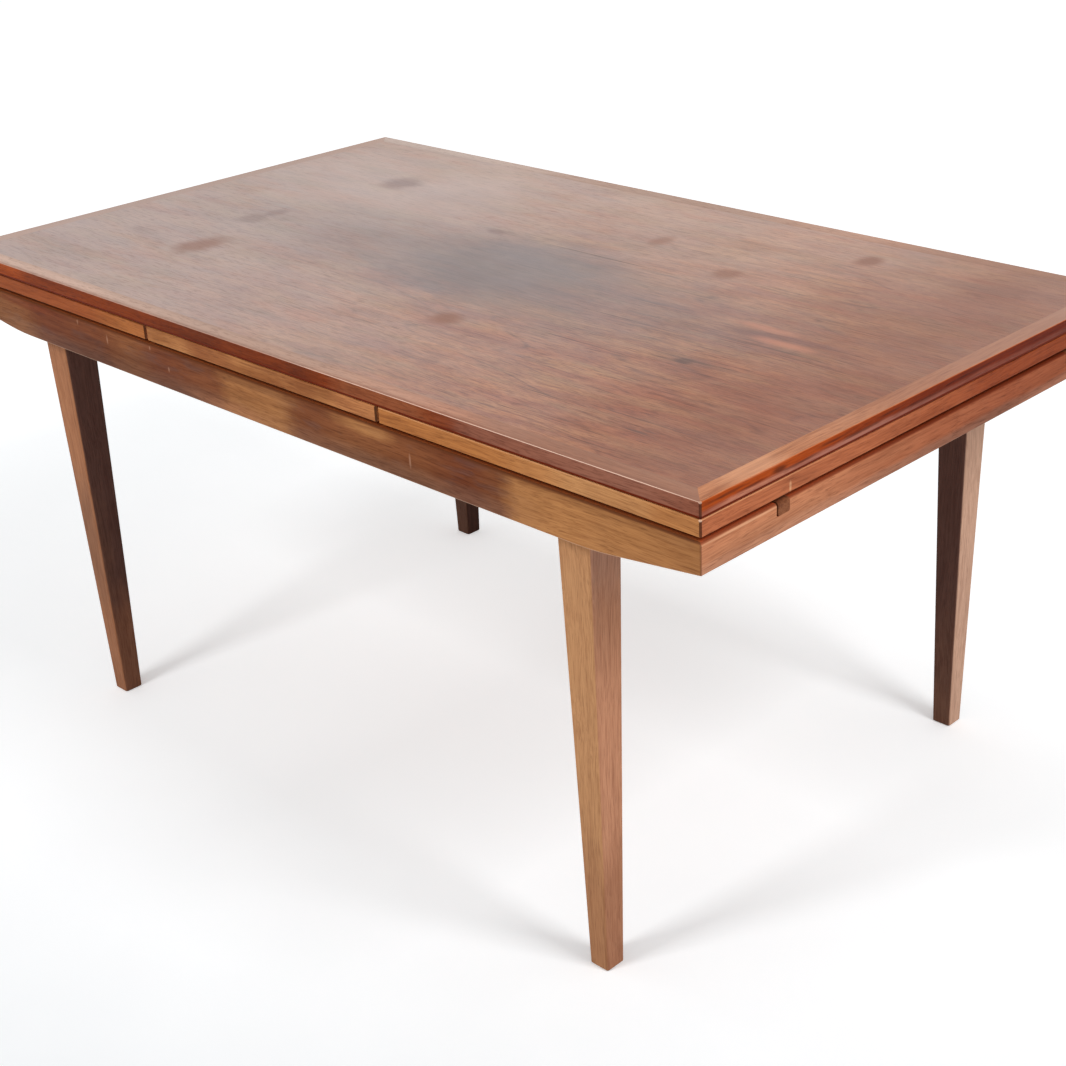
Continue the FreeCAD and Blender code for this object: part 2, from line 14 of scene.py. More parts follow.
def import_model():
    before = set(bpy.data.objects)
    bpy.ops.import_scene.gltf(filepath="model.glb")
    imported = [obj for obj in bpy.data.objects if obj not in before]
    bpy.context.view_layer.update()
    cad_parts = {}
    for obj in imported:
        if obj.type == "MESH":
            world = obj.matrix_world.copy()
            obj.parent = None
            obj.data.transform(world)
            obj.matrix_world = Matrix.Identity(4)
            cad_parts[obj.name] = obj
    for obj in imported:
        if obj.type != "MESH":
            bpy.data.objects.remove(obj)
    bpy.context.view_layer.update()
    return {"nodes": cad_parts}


LOG = logging.getLogger("draw_leaf_table")

Colour = tuple[float, float, float]
Place = tuple[float, float, float]
Pair = tuple[float, float]
Socket = bpy.types.NodeSocket

# Half of the main top's length and depth, and the height of its upper face, in metres
HALF_LENGTH, HALF_DEPTH, LEVEL = 0.76, 0.44, 0.73

ORIGIN = (0.0, 0.0, 0.0)
UP = (0.0, 0.0, 1.0)
SLANT = math.sqrt(0.5)
SIGNS = (-1.0, 1.0)


def paint(red: int, green: int, blue: int) -> Colour:
    """Turn a colour as a screen gives it into a linear one.

    Args:
        red: Red from 0 to 255.
        green: Green from 0 to 255.
        blue: Blue from 0 to 255.

    Returns:
        The colour as shaders take it.
    """
    return tuple(
        v / 255 / 12.92 if v < 10.3 else ((v / 255 + 0.055) / 1.055) ** 2.4
        for v in (red, green, blue)
    )


class Axis(IntEnum):
    """Axis that a tint changes along."""

    X = 0
    Y = 1
    Z = 2


class Grain(Enum):
    """Axis that the fibres of a board run along."""

    LENGTHWISE = 0
    CROSSWISE = 1
    UPRIGHT = 2

    def stretch(self, along: float, across: float) -> Place:
        """Scale on X, Y and Z of a pattern with so many cycles along and across the fibres."""
        return tuple(along if axis == self.value else across for axis in range(3))


class Blend(Enum):
    """How a layer of colour lies on the wood below it."""

    COVER = "MIX"
    DARKEN = "MULTIPLY"
    LIGHTEN = "SCREEN"


@dataclass
class Recipe:
    """Adds and joins the nodes of one material or world.

    Attributes:
        block: The material or world that the nodes belong to.
    """

    block: bpy.types.ID

    @classmethod
    def fresh(cls, name: str) -> "Recipe":
        """Start a material with nothing but its Principled shader and output.

        Args:
            name: Name of the material.

        Returns:
            The recipe of the new material.
        """
        material = bpy.data.materials.new(name)
        material.use_nodes = True
        return cls(material)

    @property
    def shader(self) -> bpy.types.Node:
        """The Principled shader."""
        return self.block.node_tree.nodes["Principled BSDF"]

    def add(self, kind: str, **settings: object) -> bpy.types.Node:
        """Add one node and set its properties.

        Args:
            kind: Node type without the ShaderNode prefix.
            **settings: Properties of the node and their values.

        Returns:
            The new node.
        """
        node = self.block.node_tree.nodes.new("ShaderNode" + kind)
        for name, value in settings.items():
            setattr(node, name, value)
        return node

    def feed(self, socket: Socket, source: object) -> None:
        """Fill an input by a link or with a fixed value.

        Args:
            socket: Input to fill.
            source: An output socket, a number, a vector or a colour.
        """
        if isinstance(source, bpy.types.NodeSocket):
            self.block.node_tree.links.new(source, socket)
        elif socket.type == "RGBA":
            socket.default_value = (*source, 1.0)
        else:
            socket.default_value = source

    def dial(self, name: str, source: object) -> None:
        """Fill one input of the Principled shader."""
        self.feed(self.shader.inputs[name], source)

    def place(self) -> Socket:
        """Position on the table in metres."""
        return self.add("TexCoord").outputs["Object"]

    def seen(self) -> Socket:
        """One where the camera looks straight or by a reflection, and otherwise nought."""
        rays = self.add("LightPath").outputs
        return self.number("MAXIMUM", rays["Is Camera Ray"], rays["Is Glossy Ray"])

    def vector(self, operation: str, first: object, second: object = ORIGIN) -> Socket:
        """Vector arithmetic.

        Args:
            operation: Name of the operation.
            first: First input.
            second: Second input, where the operation has one.

        Returns:
            A number for a length or a dot product, and otherwise a vector.
        """
        node = self.add("VectorMath", operation=operation)
        self.feed(node.inputs[0], first)
        self.feed(node.inputs[1], second)
        return node.outputs["Value" if operation in ("LENGTH", "DOT_PRODUCT") else "Vector"]

    def number(self, operation: str, *values: object) -> Socket:
        """Arithmetic on numbers.

        Args:
            operation: Name of the operation.
            *values: Its inputs.

        Returns:
            The result.
        """
        node = self.add("Math", operation=operation)
        for socket, value in zip(node.inputs, values):
            self.feed(socket, value)
        return node.outputs[0]

    def noise(
        self, place: object, scale: Place, detail: float = 3.0, rough: float = 0.6,
        colour: bool = False,
    ) -> Socket:
        """Noise drawn out by a scale on each axis.

        Args:
            place: Position to read it at.
            scale: Cycles for each metre on X, Y and Z.
            detail: Octaves.
            rough: Weight of the finer octaves.
            colour: Whether to give three channels instead of one.

        Returns:
            The noise, around one half.
        """
        node = self.add("TexNoise")
        self.feed(node.inputs["Vector"], self.vector("MULTIPLY", place, scale))
        node.inputs["Scale"].default_value = 1.0
        node.inputs["Detail"].default_value = detail
        node.inputs["Roughness"].default_value = rough
        return node.outputs["Color" if colour else 0]

    def spread(
        self, value: Socket, low: float, high: float, to_low: float = 0.0, to_high: float = 1.0,
        kind: str = "SMOOTHSTEP",
    ) -> Socket:
        """Map a range of values onto another and clamp it.

        Args:
            value: Value to map.
            low: Start of its range.
            high: End of its range.
            to_low: Result at the start.
            to_high: Result at the end.
            kind: Interpolation between the two.

        Returns:
            The mapped value.
        """
        node = self.add("MapRange", interpolation_type=kind)
        for socket, source in zip(node.inputs, (value, low, high, to_low, to_high)):
            self.feed(socket, source)
        return node.outputs[0]

    def wandered(self, value: Socket, wander: Socket, reach: float) -> Socket:
        """Move a value up and down by a noise around one half, up to a farthest reach."""
        return self.number("ADD", value, self.number("MULTIPLY_ADD", wander, 2 * reach, -reach))

    def blend(
        self, share: object, under: object, over: object, blend: Blend = Blend.COVER
    ) -> Socket:
        """Lay one colour over another.

        Args:
            share: How much of the upper colour shows, from 0 to 1.
            under: Lower colour.
            over: Upper colour.
            blend: Way that it lies on the lower one.

        Returns:
            The blended colour.
        """
        node = self.add("Mix", data_type="RGBA", blend_type=blend.value, clamp_factor=True)
        self.feed(node.inputs[0], share)
        self.feed(node.inputs[6], under)
        self.feed(node.inputs[7], over)
        return node.outputs[2]

    def bump(self, height: Socket, strength: float, distance: float) -> None:
        """Raise and lower the surface by a height pattern.

        Args:
            height: Pattern from 0 to 1.
            strength: Share of the effect.
            distance: Height of the full pattern, in metres.
        """
        node = self.add("Bump")
        node.inputs["Strength"].default_value = strength
        node.inputs["Distance"].default_value = distance
        self.feed(node.inputs["Height"], height)
        self.feed(self.shader.inputs["Normal"], node.outputs[0])


@dataclass(frozen=True)
class Patch:
    """Stain, bleached place, scratch, knock, painted glint, painted highlight or painted shade with
    a soft ragged outline.

    Attributes:
        centre: Middle in metres.
        reach: Half-widths on X, Y and Z in metres.
        colour: Colour that it brings.
        strength: Share of that colour in the middle.
        soft: Width of the fading edge, as a share of the reach.
        ragged: How far the outline wanders, as a share of the reach.
    """

    centre: Place
    reach: Place
    colour: Colour
    strength: float = 0.5
    soft: float = 0.6
    ragged: float = 0.5
    blend: ClassVar[Blend] = Blend.COVER

    def mask(self, recipe: Recipe, place: Socket, wander: Socket) -> Socket:
        """Share of the patch at each place.

        Args:
            recipe: Material under construction.
            place: Position on the table.
            wander: Noise around one half that roughens the outline.

        Returns:
            Values from 0 outside to the strength inside.
        """
        away = recipe.vector("SUBTRACT", place, self.centre)
        distance = recipe.vector("LENGTH", recipe.vector("DIVIDE", away, self.reach))
        distance = recipe.wandered(distance, wander, self.ragged)
        return recipe.spread(distance, 1 - self.soft, 1 + self.soft, self.strength, 0.0)


@dataclass(frozen=True)
class Tint:
    """Colour that comes and goes along one axis, or lies only on faces that look one way.

    Attributes:
        colour: Colour that it brings.
        strength: Largest share of that colour.
        axis: Axis that the stops run along.
        stops: Pairs of a coordinate in metres and the share there, in rising order.
        ragged: How far the stops wander, in metres.
        way: Direction that the faces look in, or nothing for all faces.
        facing: Closeness to that direction at which the colour starts and is full.
    """

    colour: Colour
    strength: float = 1.0
    axis: Axis = Axis.X
    stops: tuple[Pair, ...] = ()
    ragged: float = 0.0
    way: Place | None = None
    facing: Pair = (0.6, 0.9)
    blend: ClassVar[Blend] = Blend.COVER

    def mask(self, recipe: Recipe, place: Socket, wander: Socket) -> object:
        """Share of the colour at each place.

        Args:
            recipe: Material under construction.
            place: Position on the table.
            wander: Noise around one half that moves the stops.

        Returns:
            The share, from 0 to the strength.
        """
        share = self.strength
        if self.stops:
            share = recipe.number("MULTIPLY", self._along(recipe, place, wander), self.strength)
        if self.way:
            look = recipe.vector("DOT_PRODUCT", recipe.add("TexCoord").outputs["Normal"], self.way)
            share = recipe.number("MULTIPLY", recipe.spread(look, *self.facing), share)
        return share

    def _along(self, recipe: Recipe, place: Socket, wander: Socket) -> Socket:
        """Read the stops at a position.

        Args:
            recipe: Material under construction.
            place: Position on the table.
            wander: Noise around one half.

        Returns:
            The share that the stops give.
        """
        split = recipe.add("SeparateXYZ")
        recipe.feed(split.inputs[0], place)
        value = split.outputs[self.axis]
        if self.ragged:
            value = recipe.wandered(value, wander, 2 * self.ragged)
        low, high = self.stops[0][0], self.stops[-1][0]
        ramp = recipe.add("ValToRGB")
        recipe.feed(ramp.inputs[0], recipe.spread(value, low, high, kind="LINEAR"))
        ramp.color_ramp.interpolation = "EASE"
        elements = ramp.color_ramp.elements
        while len(elements) < len(self.stops):
            elements.new(0.5)
        for element, (coordinate, share) in zip(elements, self.stops):
            element.position = (coordinate - low) / (high - low)
            element.color = (share, share, share, 1.0)
        return ramp.outputs[0]


@dataclass(frozen=True)
class Mottle:
    """Uneven colour in soft spots of one size, drawn out or not.

    Attributes:
        colour: Colour that it brings.
        strength: Largest share of that colour.
        scale: Cycles for each metre on X, Y and Z.
        shown: Values of the noise at which a spot starts and is full.
        offset: Shift of the pattern in metres.
        blend: How it lies on the wood.
    """

    colour: Colour
    strength: float
    scale: Place
    shown: Pair = (0.5, 0.68)
    offset: Place = ORIGIN
    blend: Blend = Blend.COVER

    def mask(self, recipe: Recipe, place: Socket, wander: Socket) -> Socket:
        """Share of the colour at each place; the spots have a noise of their own."""
        spots = recipe.noise(recipe.vector("ADD", place, self.offset), self.scale)
        return recipe.spread(spots, *self.shown, 0.0, self.strength)


Layers = tuple[Patch | Tint | Mottle, ...]


@dataclass(frozen=True)
class Figure:
    """Scale and depth of the grain that one way of cutting the wood shows.

    Attributes:
        clouds: Cycles for each metre, along and across the fibres, of the broad mottling.
        lines: The same of the dark lines.
        dark: Values of the noise at which such a line starts and is full.
        fibres: Cycles for each metre, along and across, of the fibres.
        depth: Share of the fibres.
        rings: Value of the growth contours at which they start to show.
        line_tint: Colour that the lines multiply the wood by.
        blush: Share of the second, purple mottling.
        glow: Share of the bright streaks.
    """

    clouds: Pair = (1.5, 13.0)
    lines: Pair = (4.0, 130.0)
    dark: Pair = (0.47, 0.7)
    fibres: Pair = (22.0, 560.0)
    depth: float = 0.4
    rings: float = 0.45
    line_tint: Colour = (0.434, 0.305, 0.27)
    blush: float = 0.0
    glow: float = 0.35


@dataclass(frozen=True)
class Finish(ABC):
    """One procedural material.

    Attributes:
        name: Name of the material.
    """

    name: str

    def build(self) -> bpy.types.Material:
        """Make the material.

        Returns:
            The finished material.
        """
        recipe = Recipe.fresh(self.name)
        self.fill(recipe)
        return recipe.block

    @abstractmethod
    def fill(self, recipe: Recipe) -> None:
        """Add the nodes of this kind of finish."""


# Patterns that all the wood shares, in cycles for each metre along and across the fibres:
# ragged outlines of the marks, pores, slow drift of the grain, growth rings, gaps in the rings
OUTLINES, PORES, DRIFT, HEART, GAPS = (20, 44), (38, 900), (1.9, 4.0), (0.8, 6.0), (7, 60)
DRIFT_REACH = 0.045
PORE_DEPTH = 0.0003
RING_COUNT = 30.0

# Values of their noises at which these start to show and are full
PORE_RANGE, CLOUD_RANGE, BLUSH_RANGE = (0.57, 0.68), (0.34, 0.66), (0.5, 0.66)
SHEEN_RANGE, FIBRE_RANGE, GAP_RANGE = (0.5, 0.3), (0.42, 0.66), (0.38, 0.68)
GLOSS_RANGE = (0.3, 0.7)
BLUSH_SHIFT = (3.7, 1.9, 5.3)

# Colours that the lines of the grain multiply the wood by, the sheen between them and the blush
RING_TINT, FIBRE_TINT, PORE_TINT = paint(140, 108, 104), paint(186, 164, 158), paint(120, 96, 92)
SHEEN_TINT, BLUSH_TINT = paint(116, 70, 44), paint(136, 86, 74)


@dataclass(frozen=True)
class WoodFinish(Finish):
    """Oiled and polished wood with growth figure, fine grain, pores and the marks of use.

    Attributes:
        grain: Axis that the fibres run along.
        warm: Main colour.
        pale: Colour of the lighter bands.
        cut: Place in the log that the board comes from, so that boards differ.
        look: Scale and depth of its grain.
        figure: Share of the dark growth lines.
        streaks: Share of the fine lines.
        pores: Share of the pores.
        gloss: Lowest and highest roughness.
        shine: Specular level of the wood.
        layers: Bleaching, colour bands, painted light and painted shade of the wood, from the
            lowest to the uppermost.
        veils: Painted reflection haze, stains, wear, painted highlights and painted shade, which
            lie over the grain as well.
        veils: Haze, stains and worn edges, which lie over the grain as well.
    """

    grain: Grain
    warm: Colour
    pale: Colour
    cut: Place = ORIGIN
    look: Figure = Figure()
    figure: float = 0.3
    streaks: float = 0.4
    pores: float = 0.3
    gloss: Pair = (0.38, 0.52)
    shine: float = 0.03
    layers: Layers = ()
    veils: Layers = ()

    def fill(self, recipe: Recipe) -> None:
        """Add the clouds, the bleaching, the grain, the veils and the relief.

        Args:
            recipe: Material under construction.
        """
        place = recipe.place()
        board = self._wandering(recipe, recipe.vector("ADD", place, self.cut))
        wander = recipe.noise(place, self.grain.stretch(*OUTLINES), 4.0, 0.62)
        line = recipe.noise(board, self.grain.stretch(*self.look.lines), 4.0, 0.62)
        fibre = recipe.noise(board, self.grain.stretch(*self.look.fibres), 3.0, 0.65)
        dashes = recipe.noise(board, self.grain.stretch(*PORES), 1.0, 0.4)
        pore = recipe.spread(dashes, *PORE_RANGE)
        colour = self._mottled(recipe, board)
        colour = self._layered(recipe, place, wander, colour, self.layers)
        colour = self._grained(recipe, board, line, fibre, pore, colour)
        colour = self._layered(recipe, place, wander, colour, self.veils)
        recipe.dial("Base Color", colour)
        self._surface(recipe, line, fibre, pore)

    def _wandering(self, recipe: Recipe, place: Socket) -> Socket:
        """Position pushed sideways, so that the lines of the grain wander.

        Args:
            recipe: Material under construction.
            place: Position in the log.

        Returns:
            The pushed position.
        """
        push = recipe.noise(place, self.grain.stretch(*DRIFT), 3.0, 0.5, colour=True)
        push = recipe.vector("SUBTRACT", push, (0.5, 0.5, 0.5))
        push = recipe.vector("MULTIPLY", push, self.grain.stretch(0.0, DRIFT_REACH))
        return recipe.vector("ADD", place, push)

    def _mottled(self, recipe: Recipe, board: Socket) -> Socket:
        """Broad light and dark clouds of the wood itself.

        Args:
            recipe: Material under construction.
            board: Wandering position in the log.

        Returns:
            The colour without its grain.
        """
        along, across = self.look.clouds
        tone = recipe.noise(board, self.grain.stretch(along, across), 3.0, 0.55)
        colour = recipe.blend(recipe.spread(tone, *CLOUD_RANGE), self.warm, self.pale)
        if self.look.blush:
            shifted = recipe.vector("ADD", board, BLUSH_SHIFT)
            blush = recipe.noise(shifted, self.grain.stretch(along * 1.3, across * 1.2))
            share = recipe.spread(blush, *BLUSH_RANGE, 0.0, self.look.blush)
            colour = recipe.blend(share, colour, BLUSH_TINT)
        return colour

    def _grained(
        self, recipe: Recipe, board: Socket, line: Socket, fibre: Socket, pore: Socket,
        colour: Socket,
    ) -> Socket:
        """Draw the growth lines, the fine lines, the fibres and the pores.

        Args:
            recipe: Material under construction.
            board: Wandering position in the log.
            line: Noise of the fine lines.
            fibre: Noise of the fibres.
            pore: Share of the pores.
            colour: Colour of the wood below.

        Returns:
            The colour with its grain.
        """
        share = recipe.number("MULTIPLY", self._rings(recipe, board), self.figure)
        colour = recipe.blend(share, colour, RING_TINT, Blend.DARKEN)
        share = recipe.spread(line, *self.look.dark, 0.0, self.streaks)
        colour = recipe.blend(share, colour, self.look.line_tint, Blend.DARKEN)
        share = recipe.spread(line, *SHEEN_RANGE, 0.0, self.streaks * self.look.glow)
        colour = recipe.blend(share, colour, SHEEN_TINT, Blend.LIGHTEN)
        share = recipe.spread(fibre, *FIBRE_RANGE, 0.0, self.look.depth)
        colour = recipe.blend(share, colour, FIBRE_TINT, Blend.DARKEN)
        share = recipe.number("MULTIPLY", pore, self.pores)
        return recipe.blend(share, colour, PORE_TINT, Blend.DARKEN)

    def _rings(self, recipe: Recipe, board: Socket) -> Socket:
        """Contours of a drawn-out noise, which run like growth rings through a sawn face.

        Args:
            recipe: Material under construction.
            board: Wandering position in the log.

        Returns:
            Dark figure from 0 to 1.
        """
        heart = recipe.noise(board, self.grain.stretch(*HEART), 1.0, 0.4)
        rings = recipe.number("PINGPONG", recipe.number("MULTIPLY", heart, RING_COUNT), 1.0)
        broken = recipe.noise(board, self.grain.stretch(*GAPS))
        shown = recipe.spread(rings, self.look.rings, 1.0)
        return recipe.number("MULTIPLY", shown, recipe.spread(broken, *GAP_RANGE))

    def _layered(
        self, recipe: Recipe, place: Socket, wander: Socket, colour: Socket, layers: Layers
    ) -> Socket:
        """Lay stains, wear and haze over a colour.

        Args:
            recipe: Material under construction.
            place: Position on the table.
            wander: Noise around one half that roughens their outlines.
            colour: Colour below.
            layers: Patches and tints, from the lowest to the uppermost.

        Returns:
            The colour with all layers.
        """
        for layer in layers:
            share = layer.mask(recipe, place, wander)
            colour = recipe.blend(share, colour, layer.colour, layer.blend)
        return colour

    def _surface(self, recipe: Recipe, line: Socket, fibre: Socket, pore: Socket) -> None:
        """Set roughness, sheen and relief.

        Args:
            recipe: Material under construction.
            line: Lines of the grain.
            fibre: Finest grain.
            pore: Open pores.
        """
        scuff = recipe.noise(recipe.place(), (7.0, 7.0, 7.0))
        gloss = recipe.number(
            "ADD", recipe.number("MULTIPLY", scuff, 0.7), recipe.number("MULTIPLY", line, 0.3)
        )
        recipe.dial("Roughness", recipe.spread(gloss, *GLOSS_RANGE, *self.gloss))
        recipe.dial("Specular IOR Level", self.shine)
        height = recipe.number("SUBTRACT", recipe.number("MULTIPLY", fibre, 0.5), pore)
        recipe.bump(height, 0.22, PORE_DEPTH)


@dataclass(frozen=True)
class SteelFinish(Finish):
    """Dull zinc-plated steel with stains and fine scuffs.

    Attributes:
        bright: Colour of the clean metal.
        dull: Colour of the tarnished metal.
    """

    bright: Colour
    dull: Colour

    def fill(self, recipe: Recipe) -> None:
        """Add the tarnish and the scuffs.

        Args:
            recipe: Material under construction.
        """
        place = recipe.place()
        tarnish = recipe.noise(place, (160.0, 160.0, 160.0), 4.0)
        scuffs = recipe.noise(place, (900.0, 900.0, 2200.0), 2.0)
        stained = recipe.spread(tarnish, 0.42, 0.66)
        recipe.dial("Base Color", recipe.blend(stained, self.bright, self.dull))
        recipe.dial("Roughness", recipe.spread(tarnish, *GLOSS_RANGE, 0.28, 0.55))
        recipe.dial("Metallic", 1.0)
        recipe.bump(scuffs, 0.15, 0.00005)


@dataclass(frozen=True)
class FeltFinish(Finish):
    """Pressed wool felt with matted fibres.

    Attributes:
        nap: Main colour.
        shadow: Colour between the fibres.
    """

    nap: Colour
    shadow: Colour

    def fill(self, recipe: Recipe) -> None:
        """Add the matted fibres and the worn places.

        Args:
            recipe: Material under construction.
        """
        place = recipe.place()
        fibres = recipe.noise(place, (1400.0, 1400.0, 1400.0), 3.0, 0.7)
        worn = recipe.noise(place, (18.0, 18.0, 18.0), 3.0, 0.5)
        colour = recipe.blend(recipe.spread(fibres, 0.35, 0.65), self.shadow, self.nap)
        colour = recipe.blend(recipe.spread(worn, 0.45, 0.75, 0.0, 0.4), colour, self.shadow)
        recipe.dial("Base Color", colour)
        recipe.dial("Roughness", recipe.spread(fibres, *GLOSS_RANGE, 0.8, 1.0))
        recipe.dial("Sheen Weight", 0.4)
        recipe.bump(fibres, 0.6, 0.0003)


# Woods, as they are without haze and shade; SHADED is the painted shade of the leg faces that the
# lamps don't reach
TOP_WARM, TOP_PALE = paint(154, 92, 64), paint(180, 124, 86)
BAND_WARM, BAND_PALE = paint(180, 118, 84), paint(198, 137, 100)
APRON_WARM, APRON_PALE = paint(98, 50, 30), paint(122, 66, 40)
END_WARM, END_PALE = paint(186, 116, 80), paint(203, 135, 97)
GOLDEN = paint(192, 134, 82)
SHADED = paint(90, 62, 54)
CORNER = paint(70, 34, 24)

# Veneers have fine dark lines over mottled wood
VENEER = Figure(
    clouds=(7.0, 34.0), lines=(5.5, 300.0), dark=(0.53, 0.7), fibres=(60.0, 430.0), depth=0.62,
    rings=0.88, line_tint=(0.33, 0.225, 0.19), blush=0.36, glow=0.5,
)


def corner_tints(
    colour: Colour, strength: float, facing: Pair, ends: tuple[float, ...] = SIGNS
) -> tuple[Tint, ...]:
    """Colour on the upright corners of a board.

    Args:
        colour: Colour of the corners.
        strength: Share of that colour.
        facing: Closeness to a corner's direction at which it starts and is full.
        ends: Signs of the ends that have such corners.

    Returns:
        One tint for each corner.
    """
    return tuple(
        Tint(colour, strength, way=(x * SLANT, y * SLANT, 0.0), facing=facing)
        for x in ends for y in SIGNS
    )


def painted_corner_glints(
    level: float, reach: Place, colour: Colour, strength: float, ends: tuple[float, ...] = SIGNS
) -> tuple[Patch, ...]:
    """Painted glints of light on the upright corners, a millimetre inside them.

    Args:
        level: Height of the dots.
        reach: Half-widths of a dot.
        colour: Colour of the dots.
        strength: Share of that colour.
        ends: Signs of the ends that have such dots.

    Returns:
        One patch for each corner.
    """
    x, y = HALF_LENGTH - 0.001, HALF_DEPTH - 0.001
    return tuple(
        Patch((end * x, side * y, level), reach, colour, strength, 0.4, 0.2)
        for end in ends for side in SIGNS
    )


@dataclass
class Woodwork:
    """Sub-assembly that dresses CAD nodes with finishes.

    Attributes:
        nodes: CAD nodes by name.
        made: Materials that are made already, by name, shared by all sub-assemblies.
    """

    nodes: dict[str, bpy.types.Object]
    made: dict[str, bpy.types.Material] = field(default_factory=dict)

    def dress(self, name: str, finish: Finish) -> None:
        """Give one node a finish.

        Args:
            name: CAD node.
            finish: Its finish.
        """
        piece = self.nodes[name]
        if finish.name not in self.made:
            self.made[finish.name] = finish.build()
        piece.data.materials.clear()
        piece.data.materials.append(self.made[finish.name])
        LOG.info("%s: %s", name, finish.name)


@dataclass
class MainTop(Woodwork):
    """Loose main top: veneered panel, mitred lippings, locating pegs.

    Attributes:
        stain_width: Half-width of the dark middle of the large stain, in metres.
        stain_depth: Reach of all stains up and down, in metres.
    """

    stain_width: float = 0.15
    stain_depth: float = 0.4

    def stains(self) -> tuple[Patch, ...]:
        """Marks of use on the veneer.

        Returns:
            The large water stain, the small spots and the thin dark scratches.
        """
        cloud, brown, purple = paint(112, 106, 108), paint(128, 76, 50), paint(104, 72, 70)
        orange, dark = paint(212, 138, 106), paint(66, 44, 40)
        spots = (
            (0.0, -0.01, 0.46, 0.13, cloud, 0.42, 0.6, 0.35),
            (0.02, 0.0, self.stain_width, 0.13, cloud, 0.5, 0.5, 0.35),
            (-0.47, 0.22, 0.26, 0.17, paint(208, 192, 186), 0.24),
            (-0.474, 0.234, 0.032, 0.034, purple, 0.52),
            (-0.452, -0.199, 0.028, 0.04, brown, 0.68),
            (0.113, -0.203, 0.022, 0.02, brown, 0.72),
            (0.413, 0.335, 0.017, 0.021, brown, 0.85),
            (0.108, 0.235, 0.014, 0.024, brown, 0.5),
            (0.29, 0.17, 0.02, 0.019, brown, 0.62),
            (-0.508, -0.054, 0.022, 0.024, purple, 0.4),
            (-0.504, -0.008, 0.016, 0.018, purple, 0.35),
            (0.476, -0.13, 0.046, 0.009, purple, 0.35),
            (0.473, -0.134, 0.012, 0.007, dark, 0.62),
            (0.452, -0.14, 0.034, 0.0028, dark, 0.42),
            (0.49, -0.127, 0.026, 0.0024, dark, 0.42),
            (0.58, -0.339, 0.018, 0.0022, dark, 0.55),
            (0.592, -0.331, 0.012, 0.0018, dark, 0.45),
            (-0.128, 0.125, 0.018, 0.01, purple, 0.42),
            (-0.137, 0.39, 0.024, 0.014, brown, 0.2),
            (0.218, -0.325, 0.014, 0.016, purple, 0.28),
            (0.62, 0.315, 0.06, 0.05, purple, 0.16),
            (-0.6, -0.2, 0.03, 0.018, purple, 0.14),
            (0.49, -0.006, 0.05, 0.012, purple, 0.4),
            (0.48, 0.022, 0.05, 0.009, orange, 0.34),
            (0.532, -0.012, 0.046, 0.009, orange, 0.42),
            (0.56, 0.01, 0.04, 0.008, purple, 0.35),
            (0.1, 0.124, 0.12, 0.0016, dark, 0.55),
            (0.52, -0.034, 0.075, 0.0015, dark, 0.5),
            (0.34, -0.162, 0.08, 0.0014, dark, 0.4),
            (0.56, -0.31, 0.09, 0.0014, dark, 0.45),
            (0.3, -0.06, 0.06, 0.0013, dark, 0.35),
        )
        return tuple(
            Patch((x, y, LEVEL), (wide, deep, self.stain_depth), *look)
            for x, y, wide, deep, *look in spots
        )

    def painted_haze(self, colour: Colour, strength: float, way: Place | None = None) -> tuple[Tint, ...]:
        """Greyish painted reflection of the bright surroundings in the polish, thickest at the left
        and faint at the right.

        Args:
            colour: Colour of the painted reflection at the left.
            strength: Its share there.
            way: Direction that the faces look in, or nothing for all faces.

        Returns:
            The painted reflection along the table and a paler one towards the back.
        """
        along = (
            (-0.76, 1.0), (-0.4, 0.94), (-0.15, 0.78), (0.05, 0.58), (0.25, 0.38), (0.42, 0.2),
            (0.6, 0.0),
        )
        back = ((-0.1, 0.0), (0.15, 0.4), (0.44, 1.0))
        return (
            Tint(colour, strength, Axis.X, along, 0.02, way),
            Tint(paint(204, 168, 148), 0.42, Axis.Y, back, 0.02, way),
        )

    def arris(self, way: Place) -> Layers:
        """Painted highlight along the upper edge, dark upright corners, painted shade along the
        lower edge where the top meets the leaf, and painted glints at the corners of a lipping.

        Args:
            way: Direction that the lipping's outer face looks in.

        Returns:
            The tints, from the lowest to the uppermost.
        """
        edge = (SLANT * way[0], SLANT * way[1], SLANT)
        # Painted highlight along the upper edge: pale at the front, orange at the right end, pale
        # grey at the left end and back
        if way[1] < 0.0:
            stops = ((-0.76, 0.25), (0.05, 0.35), (0.14, 0.9), (0.7, 1.0), (0.76, 0.6))
            painted_highlight = Tint(paint(246, 210, 190), 0.75, Axis.X, stops, 0.03, edge, (0.89, 0.99))
        elif way[0] > 0.0:
            painted_highlight = Tint(paint(196, 98, 50), 0.5, way=edge, facing=(0.8, 0.97))
        else:
            painted_highlight = Tint(paint(206, 192, 182), 0.8, way=edge, facing=(0.8, 0.97))
        # Painted shade along the lower edge, at the joint with the leaf below
        low = ((0.7105, 1.0), (0.7127, 1.0), (0.714, 0.0))
        painted_joint_shade = Tint(paint(100, 28, 0), 1.0, Axis.Z, low, 0.0002, (*way[:2], 0.0), (0.3, 0.6))
        # Painted glints at the top corners
        painted_glints = painted_corner_glints(0.729, (0.0018, 0.0018, 0.0014), paint(236, 190, 164), 0.6)
        return (painted_joint_shade, *corner_tints(CORNER, 0.85, (0.8, 0.93)), painted_highlight, *painted_glints)

